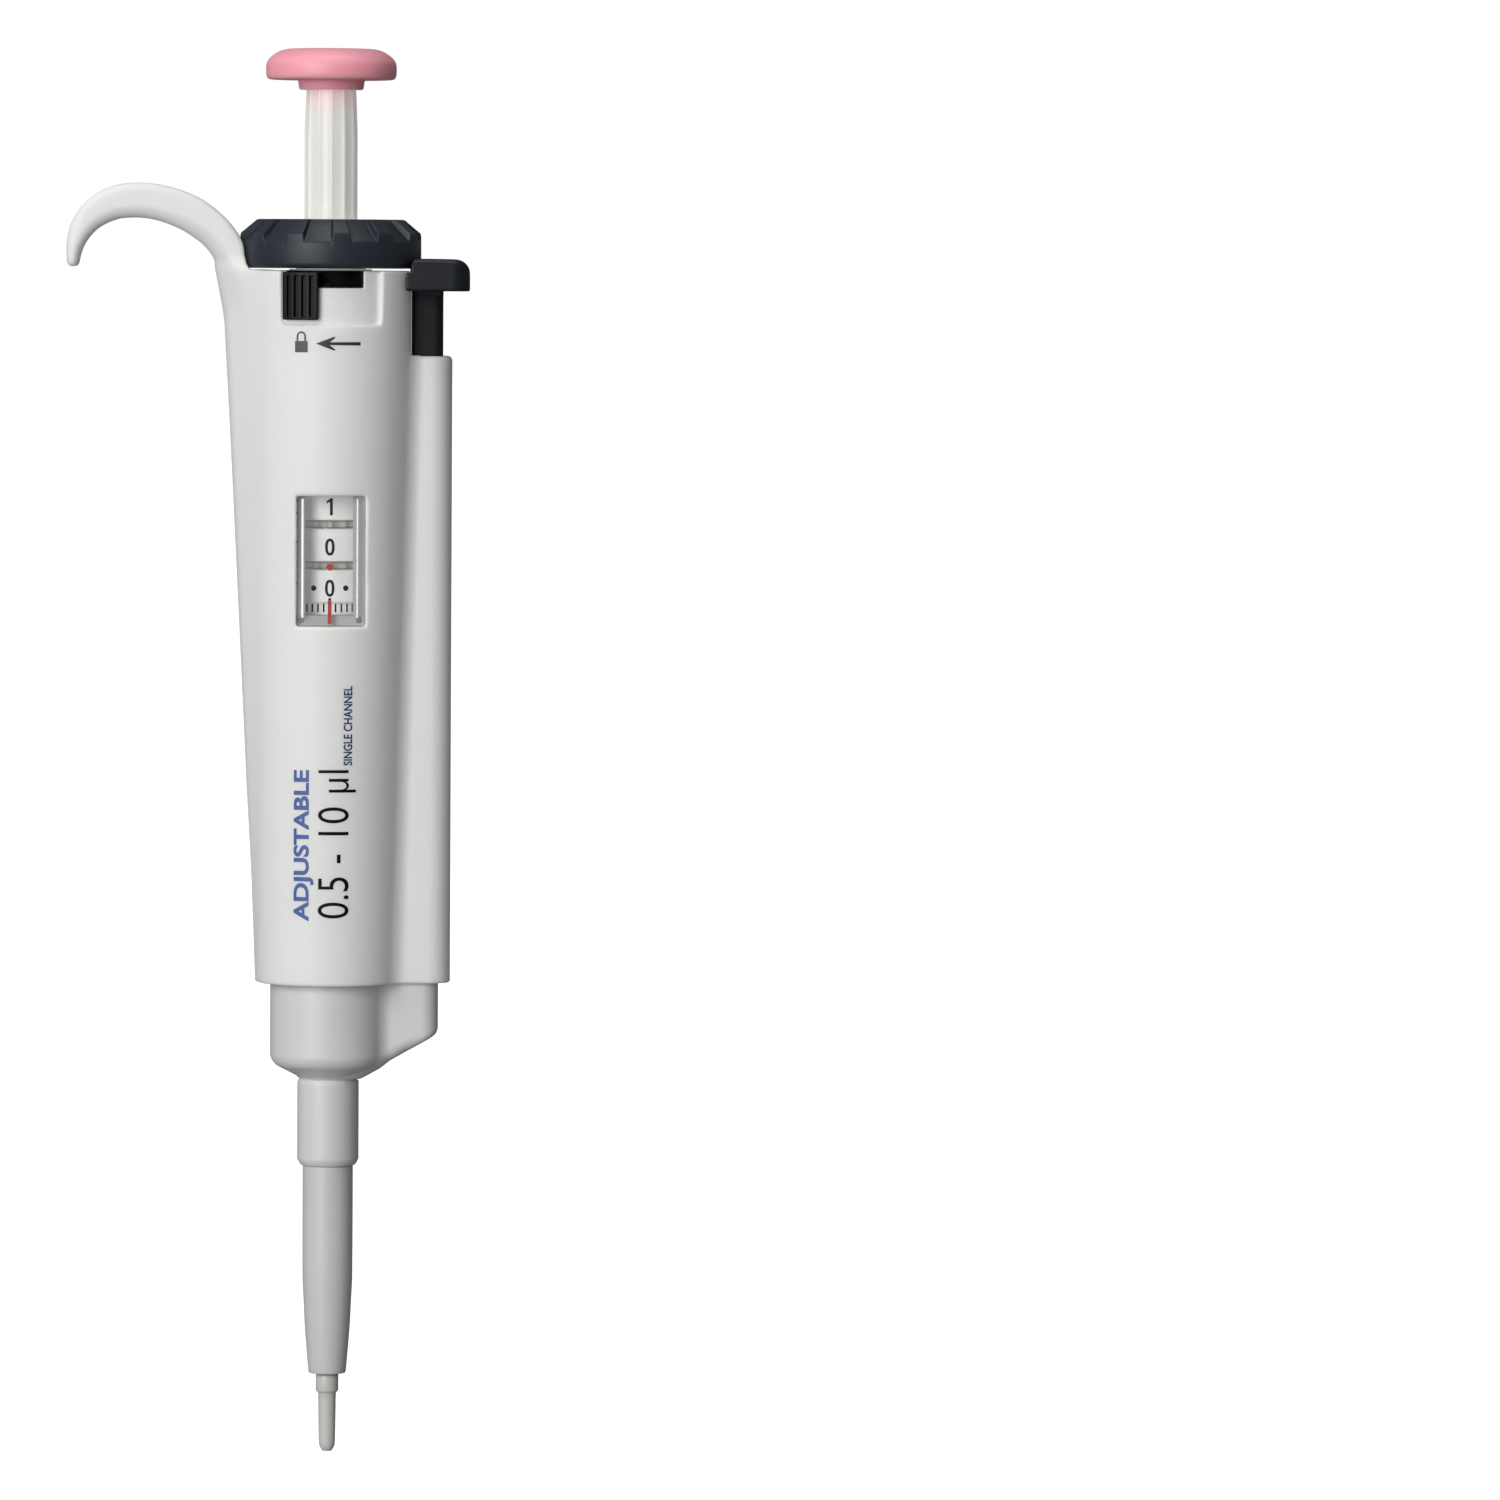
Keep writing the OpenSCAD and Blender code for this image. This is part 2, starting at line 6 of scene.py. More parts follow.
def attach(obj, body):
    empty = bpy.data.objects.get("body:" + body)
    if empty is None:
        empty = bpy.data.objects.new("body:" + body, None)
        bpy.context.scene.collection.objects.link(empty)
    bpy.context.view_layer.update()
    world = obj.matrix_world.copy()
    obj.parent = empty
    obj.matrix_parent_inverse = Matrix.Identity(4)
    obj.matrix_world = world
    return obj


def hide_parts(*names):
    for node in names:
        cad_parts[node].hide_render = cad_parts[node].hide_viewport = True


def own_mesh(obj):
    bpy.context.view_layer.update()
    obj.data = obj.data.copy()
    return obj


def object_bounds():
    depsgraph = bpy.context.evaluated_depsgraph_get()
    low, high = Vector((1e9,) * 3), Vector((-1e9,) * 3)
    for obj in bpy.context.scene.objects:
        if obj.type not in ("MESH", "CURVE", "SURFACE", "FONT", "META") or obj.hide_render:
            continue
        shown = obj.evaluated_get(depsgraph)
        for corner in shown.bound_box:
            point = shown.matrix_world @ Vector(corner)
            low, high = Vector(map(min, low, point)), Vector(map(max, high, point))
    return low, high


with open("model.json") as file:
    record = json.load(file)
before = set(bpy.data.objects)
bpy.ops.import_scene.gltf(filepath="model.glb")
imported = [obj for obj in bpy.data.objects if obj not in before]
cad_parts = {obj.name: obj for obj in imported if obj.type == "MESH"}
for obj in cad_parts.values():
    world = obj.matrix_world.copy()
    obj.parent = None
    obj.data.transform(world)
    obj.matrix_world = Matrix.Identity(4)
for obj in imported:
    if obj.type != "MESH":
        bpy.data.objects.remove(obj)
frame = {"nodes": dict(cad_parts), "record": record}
cad_lo, cad_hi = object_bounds()
cad_lo, cad_hi = [float(v) for v in cad_lo], [float(v) for v in cad_hi]
nodes = frame["nodes"]
scene = bpy.context.scene
MM = 0.001
AMBIENT, KEY, TOP = 0.155, 18.0, 4.4


# ------------------------------------------------------------------ materials

def lin(c):
    """sRGB 0..255 to linear rgba."""
    out = []
    for v in c[:3]:
        v = v / 255.0
        out.append(v / 12.92 if v <= 0.04045 else ((v + 0.055) / 1.055) ** 2.4)
    return (*out, 1.0)


def principled(name, rgb, rough=0.4, metal=0.0, coat=0.0, coat_rough=0.2, sss=0.0, sss_radius=0.001, sss_rgb=(1.0, 1.0, 1.0), ior=1.5, spec=0.5,
               vary=0.03, vary_scale=60.0, grain=0.0, grain_scale=2500.0, rough_vary=0.05, transmission=0.0, alpha=1.0,
               painted_glow=0.0, ripple=0.0, ripple_scale=300.0, edge=0.0, edge_rgb=None):
    m = bpy.data.materials.new(name)
    m.use_nodes = True
    nt = m.node_tree
    nd, lk = nt.nodes, nt.links
    nd.clear()
    out = nd.new("ShaderNodeOutputMaterial"); out.location = (700, 0)
    b = nd.new("ShaderNodeBsdfPrincipled"); b.location = (400, 0)
    lk.new(b.outputs[0], out.inputs[0])
    b.inputs["Metallic"].default_value = metal
    b.inputs["IOR"].default_value = ior
    b.inputs["Specular IOR Level"].default_value = spec
    b.inputs["Coat Weight"].default_value = coat
    b.inputs["Coat Roughness"].default_value = coat_rough
    b.inputs["Transmission Weight"].default_value = transmission
    b.inputs["Alpha"].default_value = alpha
    if painted_glow:
        # painted light: emission in the base colour brightens the part evenly, standing in for light through the
        # plastic and lifting its shade
        b.inputs["Emission Color"].default_value = lin(rgb)
        b.inputs["Emission Strength"].default_value = painted_glow
    if sss:
        b.inputs["Subsurface Weight"].default_value = sss
        b.inputs["Subsurface Radius"].default_value = sss_rgb
        b.inputs["Subsurface Scale"].default_value = sss_radius
    tc = nd.new("ShaderNodeTexCoord"); tc.location = (-900, 0)
    # slow colour variation
    n1 = nd.new("ShaderNodeTexNoise"); n1.location = (-650, 200)
    n1.inputs["Scale"].default_value = vary_scale
    n1.inputs["Detail"].default_value = 4.0
    lk.new(tc.outputs["Object"], n1.inputs["Vector"])
    ramp = nd.new("ShaderNodeValToRGB"); ramp.location = (-400, 200)
    base = lin(rgb)
    lo = tuple(max(0.0, c * (1 - vary)) for c in base[:3]) + (1.0,)
    hi = tuple(min(1.0, c * (1 + vary)) for c in base[:3]) + (1.0,)
    ramp.color_ramp.elements[0].position = 0.3
    ramp.color_ramp.elements[1].position = 0.7
    ramp.color_ramp.elements[0].color = lo
    ramp.color_ramp.elements[1].color = hi
    lk.new(n1.outputs["Fac"], ramp.inputs["Fac"])
    col = ramp.outputs["Color"]
    if edge:
        geo = nd.new("ShaderNodeNewGeometry"); geo.location = (-650, 500)
        er = nd.new("ShaderNodeValToRGB"); er.location = (-400, 500)
        er.color_ramp.elements[0].position = 0.52
        er.color_ramp.elements[1].position = 0.62
        er.color_ramp.elements[0].color = (0, 0, 0, 1)
        er.color_ramp.elements[1].color = (edge, edge, edge, 1)
        lk.new(geo.outputs["Pointiness"], er.inputs["Fac"])
        mix = nd.new("ShaderNodeMix"); mix.data_type = "RGBA"; mix.location = (-100, 300)
        lk.new(er.outputs["Color"], mix.inputs[0])
        lk.new(col, mix.inputs[6])
        mix.inputs[7].default_value = lin(edge_rgb or rgb)
        col = mix.outputs[2]
    lk.new(col, b.inputs["Base Color"])
    # roughness variation
    n2 = nd.new("ShaderNodeTexNoise"); n2.location = (-650, -100)
    n2.inputs["Scale"].default_value = vary_scale * 7
    n2.inputs["Detail"].default_value = 3.0
    lk.new(tc.outputs["Object"], n2.inputs["Vector"])
    mr = nd.new("ShaderNodeMapRange"); mr.location = (-400, -100)
    mr.inputs["To Min"].default_value = max(0.02, rough - rough_vary)
    mr.inputs["To Max"].default_value = min(1.0, rough + rough_vary)
    lk.new(n2.outputs["Fac"], mr.inputs["Value"])
    lk.new(mr.outputs["Result"], b.inputs["Roughness"])
    height = None
    if grain:
        n3 = nd.new("ShaderNodeTexNoise"); n3.location = (-650, -400)
        n3.inputs["Scale"].default_value = grain_scale
        n3.inputs["Detail"].default_value = 2.0
        n3.inputs["Roughness"].default_value = 0.6
        lk.new(tc.outputs["Object"], n3.inputs["Vector"])
        bp = nd.new("ShaderNodeBump"); bp.location = (100, -400)
        bp.inputs["Strength"].default_value = grain
        bp.inputs["Distance"].default_value = 0.00006
        lk.new(n3.outputs["Fac"], bp.inputs["Height"])
        height = bp
    if ripple:
        n4 = nd.new("ShaderNodeTexNoise"); n4.location = (-650, -650)
        n4.inputs["Scale"].default_value = ripple_scale
        n4.inputs["Detail"].default_value = 1.0
        lk.new(tc.outputs["Object"], n4.inputs["Vector"])
        b2 = nd.new("ShaderNodeBump"); b2.location = (100, -650)
        b2.inputs["Strength"].default_value = ripple
        b2.inputs["Distance"].default_value = 0.0001
        lk.new(n4.outputs["Fac"], b2.inputs["Height"])
        if height:
            lk.new(b2.outputs["Normal"], height.inputs["Normal"])
        else:
            height = b2
    if height:
        lk.new(height.outputs["Normal"], b.inputs["Normal"])
    return m


def brushed(name, rgb, rough=0.3, axis="Z"):
    """Turned or drawn metal: fine lines round the axis, from noise stretched along it."""
    m = principled(name, rgb, rough=rough, metal=1.0, vary=0.05, vary_scale=200)
    nt = m.node_tree
    nd, lk = nt.nodes, nt.links
    b = next(n for n in nd if n.type == "BSDF_PRINCIPLED")
    tc = next(n for n in nd if n.type == "TEX_COORD")
    mp = nd.new("ShaderNodeMapping")
    mp.inputs["Scale"].default_value = (40, 40, 9000) if axis == "Z" else (9000, 9000, 40)
    lk.new(tc.outputs["Object"], mp.inputs["Vector"])
    n = nd.new("ShaderNodeTexNoise"); n.inputs["Scale"].default_value = 1.0
    lk.new(mp.outputs["Vector"], n.inputs["Vector"])
    bp = nd.new("ShaderNodeBump"); bp.inputs["Strength"].default_value = 0.25; bp.inputs["Distance"].default_value = 0.00002
    lk.new(n.outputs["Fac"], bp.inputs["Height"])
    lk.new(bp.outputs["Normal"], b.inputs["Normal"])
    return m


M = {}
# painted light: a faint emission lifts the shell's shading
M["shell"] = principled("shell_white", (231, 231, 230), rough=0.5, vary=0.006, vary_scale=25, grain=0.1, grain_scale=3000,
                        rough_vary=0.03, sss=0.35, sss_radius=0.0025, spec=0.32, painted_glow=0.02)
M["ejector_grey"] = principled("ejector_grey", (217, 217, 215), rough=0.4, vary=0.008, vary_scale=30, grain=0.12, grain_scale=3000,
                               rough_vary=0.03, sss=0.08, sss_radius=0.001)
M["sleeve_grey"] = principled("sleeve_grey", (207, 208, 206), rough=0.38, vary=0.008, vary_scale=30, grain=0.1, grain_scale=3500,
                              rough_vary=0.03, sss=0.06, sss_radius=0.001)
M["nozzle_grey"] = principled("nozzle_grey", (204, 204, 201), rough=0.32, vary=0.01, vary_scale=60, grain=0.06, grain_scale=4000,
                              rough_vary=0.03, sss=0.05, sss_radius=0.0008)
M["dark"] = principled("slate_dark", (37, 43, 52), rough=0.46, vary=0.05, vary_scale=80, grain=0.3, grain_scale=3200,
                       rough_vary=0.05, spec=0.35)
M["thumb"] = principled("slate_thumb", (22, 26, 32), rough=0.46, vary=0.05, vary_scale=80, grain=0.3, grain_scale=3200, rough_vary=0.05, spec=0.25)
M["bar"] = principled("slate_bar", (22, 25, 29), rough=0.5, vary=0.05, vary_scale=80, grain=0.25, grain_scale=3200, rough_vary=0.05, spec=0.2)
M["black"] = principled("lever_black", (8, 8, 9), rough=0.48, vary=0.05, vary_scale=100, grain=0.2, grain_scale=3600, rough_vary=0.04, spec=0.2)
M["pink"] = principled("button_pink", (249, 166, 179), rough=0.46, vary=0.012, vary_scale=60, grain=0.15, grain_scale=3200,
                       rough_vary=0.04, sss=0.6, sss_radius=0.003)
# painted light: the stem's strong emission flattens its shading, standing in for light through the plastic
M["rod"] = principled("rod_white", (215, 215, 210), rough=0.42, vary=0.01, vary_scale=60, grain=0.05, grain_scale=3000,
                      sss=0.8, sss_radius=0.0035, painted_glow=0.29, coat=0.05, coat_rough=0.2)
def tint_along_z(mat, z0, z1, rgb, amount):
    """Painted light: the base colour turns towards rgb from z0 up to z1, in metres, standing in for light from the next
    part soaking in.
    """
    nt = mat.node_tree
    nd, lk = nt.nodes, nt.links
    b = next(n for n in nd if n.type == "BSDF_PRINCIPLED")
    src = b.inputs["Base Color"].links[0].from_socket
    tc = nd.new("ShaderNodeTexCoord")
    sep = nd.new("ShaderNodeSeparateXYZ")
    lk.new(tc.outputs["Object"], sep.inputs[0])
    mr = nd.new("ShaderNodeMapRange")
    mr.inputs["From Min"].default_value = z0
    mr.inputs["From Max"].default_value = z1
    mr.inputs["To Min"].default_value = 0.0
    mr.inputs["To Max"].default_value = amount
    lk.new(sep.outputs["Z"], mr.inputs["Value"])
    mix = nd.new("ShaderNodeMix"); mix.data_type = "RGBA"
    lk.new(mr.outputs["Result"], mix.inputs[0])
    lk.new(src, mix.inputs[6])
    mix.inputs[7].default_value = lin(rgb)
    lk.new(mix.outputs[2], b.inputs["Base Color"])


# painted light: pink from the push button painted onto the stem's top
tint_along_z(M["rod"], 0.2385, 0.2438, (236, 160, 172), 0.6)
# painted light: emission on the drums and the bezel lifts the shade inside the window
M["white_part"] = principled("drum_white", (238, 238, 236), painted_glow=0.13, rough=0.45, vary=0.01, vary_scale=80, grain=0.1, grain_scale=4000, sss=0.1)
M["grey_part"] = principled("part_grey", (168, 169, 169), painted_glow=0.11, rough=0.5, vary=0.02, vary_scale=80, grain=0.15, grain_scale=3500)
# painted highlight: a bright glowing white for the strips on the lens edges
M["lens_highlight_white"] = principled("lens_highlight_white", (248, 248, 248), rough=0.12, vary=0.004, vary_scale=60, rough_vary=0.02, painted_glow=0.22)
M["ink"] = principled("print_ink", (42, 42, 46), rough=0.5, vary=0.03, vary_scale=400, grain=0.1)
M["ink_light"] = principled("print_ink_light", (66, 66, 70), rough=0.5, vary=0.03, vary_scale=400, grain=0.1)
M["digit_ink"] = principled("digit_ink", (7, 7, 8), rough=0.55, vary=0.03, vary_scale=400, grain=0.1, spec=0.15)
M["red"] = principled("print_red", (178, 62, 56), rough=0.45, vary=0.03, vary_scale=400, grain=0.1)
M["blue_ink"] = principled("print_blue", (58, 92, 158), rough=0.5, vary=0.03, vary_scale=400, grain=0.1)
M["navy_ink"] = principled("print_navy", (38, 58, 108), rough=0.5, vary=0.03, vary_scale=400, grain=0.1)
M["rubber"] = principled("rubber_black", (28, 28, 28), rough=0.75, vary=0.08, vary_scale=300, grain=0.4, grain_scale=2500)
M["seal_white"] = principled("seal_white", (238, 238, 236), rough=0.35, vary=0.01, sss=0.3)
M["steel"] = brushed("turned_steel", (190, 190, 194), rough=0.28)
M["spring_steel"] = brushed("spring_steel", (168, 168, 172), rough=0.32, axis="R")
M["brass"] = brushed("turned_brass", (202, 172, 104), rough=0.3)


def drum_material(name, z0, z1):
    """Drum plastic with painted glow, and painted shade along its recessed toothed strip, by height on the drum."""
    m = principled(name, (238, 238, 236), painted_glow=0.13, rough=0.45, vary=0.01, vary_scale=80, grain=0.1, grain_scale=4000, sss=0.1)
    nt = m.node_tree
    nd, lk = nt.nodes, nt.links
    b = next(n for n in nd if n.type == "BSDF_PRINCIPLED")
    col = b.inputs["Base Color"].links[0].from_socket
    tc = next(n for n in nd if n.type == "TEX_COORD")
    sep = nd.new("ShaderNodeSeparateXYZ")
    lk.new(tc.outputs["Object"], sep.inputs[0])
    mr2 = nd.new("ShaderNodeMapRange")
    mr2.inputs["From Min"].default_value = z0 * MM
    mr2.inputs["From Max"].default_value = z1 * MM
    lk.new(sep.outputs["Z"], mr2.inputs["Value"])
    # painted shade along the toothed strip: dark at its top and bottom edges, mid grey between
    painted_strip_shade = nd.new("ShaderNodeValToRGB")
    painted_strip_shade.color_ramp.interpolation = "CONSTANT"
    e = painted_strip_shade.color_ramp.elements
    e[0].position, e[0].color = 0.0, lin((92, 90, 86))
    e[1].position, e[1].color = 0.22, lin((172, 170, 164))
    k = e.new(0.78); k.color = lin((104, 102, 98))
    lk.new(mr2.outputs["Result"], painted_strip_shade.inputs["Fac"])
    a = nd.new("ShaderNodeMath"); a.operation = "GREATER_THAN"; a.inputs[1].default_value = z0 * MM
    c = nd.new("ShaderNodeMath"); c.operation = "LESS_THAN"; c.inputs[1].default_value = z1 * MM
    d = nd.new("ShaderNodeMath"); d.operation = "MULTIPLY"
    lk.new(sep.outputs["Z"], a.inputs[0]); lk.new(sep.outputs["Z"], c.inputs[0])
    lk.new(a.outputs[0], d.inputs[0]); lk.new(c.outputs[0], d.inputs[1])
    mix = nd.new("ShaderNodeMix"); mix.data_type = "RGBA"
    lk.new(d.outputs[0], mix.inputs[0])
    lk.new(col, mix.inputs[6])
    lk.new(painted_strip_shade.outputs["Color"], mix.inputs[7])
    lk.new(mix.outputs[2], b.inputs["Base Color"])
    return m


M["tens_drum"] = drum_material("drum_tens_white", 157.9, 159.4)
M["hundreds_drum"] = drum_material("drum_hundreds_white", 165.2, 166.7)


def lens_material():
    m = bpy.data.materials.new("lens_clear")
    m.use_nodes = True
    nt = m.node_tree
    nd, lk = nt.nodes, nt.links
    nd.clear()
    out = nd.new("ShaderNodeOutputMaterial")
    b = nd.new("ShaderNodeBsdfPrincipled")
    b.inputs["Base Color"].default_value = (0.3, 0.31, 0.32, 1)
    b.inputs["IOR"].default_value = 1.49
    b.inputs["Alpha"].default_value = 0.05
    tc = nd.new("ShaderNodeTexCoord")
    n = nd.new("ShaderNodeTexNoise"); n.inputs["Scale"].default_value = 900
    lk.new(tc.outputs["Object"], n.inputs["Vector"])
    mr = nd.new("ShaderNodeMapRange")
    mr.inputs["To Min"].default_value = 0.04; mr.inputs["To Max"].default_value = 0.09
    lk.new(n.outputs["Fac"], mr.inputs["Value"])
    lk.new(mr.outputs["Result"], b.inputs["Roughness"])
    lk.new(b.outputs[0], out.inputs[0])
    return m


M["window"] = lens_material()

SLOT_MAT = {"shell": "shell", "window": "window", "white_part": "white_part", "rod_white": "rod", "grey_part": "grey_part",
            "dial_dark": "dark", "lever_black": "black", "button_pink": "pink", "ejector_grey": "ejector_grey",
            "nozzle_grey": "nozzle_grey", "steel": "steel", "spring_steel": "spring_steel", "brass": "brass", "rubber": "rubber",
            "seal_white": "seal_white"}
for sp in frame["record"]["subparts"]:
    o = nodes[sp["node"]]
    mat = M.get(sp["node"]) or M[SLOT_MAT[sp["material_slot"]]]
    if not o.material_slots:
        o.data.materials.append(mat)
    for s in o.material_slots:
        s.material = mat
    o.data.shade_smooth()
    o.data.set_sharp_from_angle(angle=math.radians(32))


# ------------------------------------------------------------------ mesh tools

def new_object(name, verts, faces, mat, smooth=True, sharp=None, scale=MM):
    me = bpy.data.meshes.new(name)
    v = np.asarray(verts, float) * scale
    me.from_pydata(v.tolist(), [], [list(map(int, f)) for f in faces])
    me.validate()
    me.update()
    if smooth:
        me.shade_smooth()
        if sharp is not None:
            me.set_sharp_from_angle(angle=math.radians(sharp))
    o = bpy.data.objects.new(name, me)
    scene.collection.objects.link(o)
    me.materials.append(mat)
    return o


def place(o, body, slot, *replaced):
    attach(o, body)
    if replaced:
        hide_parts(*replaced)
    return o


def fillet(pts, radii, steps=5):
    """Rounds the corners of an open or closed outline. radii: one number for every corner, or one each."""
    n = len(pts)
    if not hasattr(radii, "__len__"):
        radii = [radii] * n
    out = []
    for i in range(n):
        p0, p1, p2 = (np.array(pts[(i + k) % n], float) for k in (-1, 0, 1))
        a, b = p0 - p1, p2 - p1
        la, lb = np.linalg.norm(a), np.linalg.norm(b)
        r = radii[i]
        if r <= 0 or la < 1e-9 or lb < 1e-9:
            out.append(tuple(p1)); continue
        a, b = a / la, b / lb
        ang = math.acos(max(-1, min(1, float(a @ b))))
        if ang > math.radians(178) or ang < math.radians(2):
            out.append(tuple(p1)); continue
        t = min(r / math.tan(ang / 2), 0.48 * la, 0.48 * lb)
        rr = t * math.tan(ang / 2)
        c = p1 + (a + b) / np.linalg.norm(a + b) * (rr / math.sin(ang / 2))
        s, e = p1 + a * t, p1 + b * t
        a0, a1 = math.atan2(*(s - c)[::-1]), math.atan2(*(e - c)[::-1])
        d = (a1 - a0 + math.pi) % (2 * math.pi) - math.pi
        for k in range(steps + 1):
            q = a0 + d * k / steps
            out.append((c[0] + rr * math.cos(q), c[1] + rr * math.sin(q)))
    return out


def refine(pts, step, closed=True):
    """Adds points so that no side of an outline is longer than step."""
    out = []
    n = len(pts)
    for i in range(n if closed else n - 1):
        a, b = np.array(pts[i]), np.array(pts[(i + 1) % n])
        k = max(1, int(math.ceil(np.linalg.norm(b - a) / step)))
        for j in range(k):
            out.append(tuple(a + (b - a) * j / k))
    if not closed:
        out.append(tuple(pts[-1]))
    return out


def lathe(name, prof, mat, seg=144, closed=True, centre=(0, 0), sharp=40):
    """Turns an outline of (r, z) points about the Z axis. Points at r = 0 become poles; a closed outline off the axis makes a ring."""
    verts, rows = [], []
    for r, z in prof:
        if r < 1e-6:
            rows.append([len(verts)] * seg)
            verts.append((centre[0], centre[1], z))
        else:
            rows.append(list(range(len(verts), len(verts) + seg)))
            for k in range(seg):
                a = 2 * math.pi * k / seg
                verts.append((centre[0] + r * math.cos(a), centre[1] + r * math.sin(a), z))
    faces = []
    m = len(rows)
    for i in range(m if closed else m - 1):
        A, B = rows[i], rows[(i + 1) % m]
        if A[0] == A[-1] and B[0] == B[-1]:
            continue
        for k in range(seg):
            k2 = (k + 1) % seg
            f = [A[k], A[k2], B[k2], B[k]]
            g = []
            for v in f:
                if v not in g:
                    g.append(v)
            if len(g) > 2:
                faces.append(g)
    o = new_object(name, verts, faces, mat, sharp=sharp)
    fix_normals(o)
    return o


def fix_normals(o):
    bm = bmesh.new()
    bm.from_mesh(o.data)
    bmesh.ops.recalc_face_normals(bm, faces=bm.faces)
    bm.to_mesh(o.data)
    bm.free()
    return o


# ------------------------------------------------------------------ distance fields

def rint(a, b, r):
    """Intersection with its edge rounded to radius r."""
    if np.ndim(r) == 0 and r <= 0:
        return np.maximum(a, b)
    return np.minimum(-r, np.maximum(a, b)) + np.hypot(np.maximum(a + r, 0), np.maximum(b + r, 0))


def runi(a, b, r):
    """Union with a fillet of radius r."""
    return -rint(-a, -b, r)


def box2(u, v, hu, hv, r):
    qu, qv = np.abs(u) - (hu - r), np.abs(v) - (hv - r)
    return np.hypot(np.maximum(qu, 0), np.maximum(qv, 0)) + np.minimum(np.maximum(qu, qv), 0) - r


def poly_sdf(pts, U, V):
    """Signed distance to a closed polygon at the points U, V, negative inside."""
    d = np.full(U.shape, 1e9)
    inside = np.zeros(U.shape, bool)
    n = len(pts)
    for i in range(n):
        (x0, y0), (x1, y1) = pts[i], pts[(i + 1) % n]
        ex, ey = x1 - x0, y1 - y0
        L = ex * ex + ey * ey
        if L < 1e-12:
            continue
        wx, wy = U - x0, V - y0
        t = np.clip((wx * ex + wy * ey) / L, 0, 1)
        d = np.minimum(d, (wx - ex * t) ** 2 + (wy - ey * t) ** 2)
        if y0 != y1:
            c = ((y0 > V) != (y1 > V)) & (U < (x1 - x0) * (V - y0) / (y1 - y0) + x0)
            inside ^= c
    d = np.sqrt(d)
    return np.where(inside, -d, d)


def table_2d(pts, lo, hi, step):
    """A bilinear lookup of a polygon's distance, for outlines with many points."""
    us = np.arange(lo[0], hi[0] + step, step)
    vs = np.arange(lo[1], hi[1] + step, step)
    U, V = np.meshgrid(us, vs, indexing="ij")
    T = poly_sdf(pts, U, V)

    def look(u, v):
        fu = np.clip((u - lo[0]) / step, 0, len(us) - 1.001)
        fv = np.clip((v - lo[1]) / step, 0, len(vs) - 1.001)
        iu, iv = fu.astype(int), fv.astype(int)
        tu, tv = fu - iu, fv - iv
        return ((T[iu, iv] * (1 - tu) + T[iu + 1, iv] * tu) * (1 - tv)
                + (T[iu, iv + 1] * (1 - tu) + T[iu + 1, iv + 1] * tu) * tv)
    return look


def sdf_mesh(name, f, lo, hi, h, mat, sharp=None, steps=4):
    """Meshes f < 0 by surface nets on a grid of pitch h, then moves every point onto the surface."""
    lo, hi = np.array(lo, float), np.array(hi, float)
    n = np.ceil((hi - lo) / h).astype(int) + 1
    ax = [lo[i] + h * np.arange(n[i]) for i in range(3)]
    A = np.empty(n, np.float32)
    for i0 in range(0, n[0], 16):
        X, Y, Z = np.meshgrid(ax[0][i0:i0 + 16], ax[1], ax[2], indexing="ij")
        A[i0:i0 + 16] = f(X, Y, Z)
    S = A < 0
    tot = np.zeros(n - 1, np.int8)
    for dx in (0, 1):
        for dy in (0, 1):
            for dz in (0, 1):
                tot += S[dx:n[0] - 1 + dx, dy:n[1] - 1 + dy, dz:n[2] - 1 + dz]
    act = (tot > 0) & (tot < 8)
    cells = np.argwhere(act)
    idx = np.full(act.shape, -1, np.int64)
    idx[act] = np.arange(len(cells))
    acc, cnt = np.zeros((len(cells), 3)), np.zeros(len(cells))
    corners = [(x, y, z) for x in (0, 1) for y in (0, 1) for z in (0, 1)]
    vals = {c: A[cells[:, 0] + c[0], cells[:, 1] + c[1], cells[:, 2] + c[2]] for c in corners}
    for a in corners:
        for k in range(3):
            if a[k] == 0:
                b = tuple(1 if j == k else a[j] for j in range(3))
                va, vb = vals[a], vals[b]
                m = (va < 0) != (vb < 0)
                t = va[m] / (va[m] - vb[m])
                acc[m] += np.array(a) + t[:, None] * (np.array(b) - np.array(a))
                cnt[m] += 1
    P = lo + h * (cells + acc / cnt[:, None])
    quads = []
    for k in range(3):
        o1, o2 = (k + 1) % 3, (k + 2) % 3
        sl0 = [slice(None)] * 3
        sl1 = [slice(None)] * 3
        sl0[k], sl1[k] = slice(0, n[k] - 1), slice(1, n[k])
        for o in (o1, o2):
            sl0[o] = sl1[o] = slice(1, n[o] - 1)
        s0, s1 = S[tuple(sl0)], S[tuple(sl1)]
        e = np.argwhere(s0 != s1)
        flip = s1[tuple(e.T)]
        base = e.copy()
        base[:, o1] += 1
        base[:, o2] += 1
        q = []
        for (p1, p2) in ((-1, -1), (0, -1), (0, 0), (-1, 0)):
            c = base.copy()
            c[:, o1] += p1
            c[:, o2] += p2
            q.append(idx[tuple(c.T)])
        q = np.stack(q, 1)
        q[flip] = q[flip][:, ::-1]
        quads.append(q)
    quads = np.concatenate(quads)
    eps = 0.02

    def grad(P):
        g = np.empty_like(P)
        for k in range(3):
            d = np.zeros(3); d[k] = eps
            g[:, k] = (f(*(P + d).T) - f(*(P - d).T)) / (2 * eps)
        return g
    for _ in range(steps):
        d = f(*P.T)
        g = grad(P)
        L = np.maximum((g ** 2).sum(1), 0.25)
        step = d / L
        step = np.clip(step, -0.5 * h, 0.5 * h)
        P = P - g * step[:, None]
    o = new_object(name, P, quads, mat, sharp=sharp)
    return o


def rho(x, y):
    return np.hypot(x, y)


# ------------------------------------------------------------------ handle

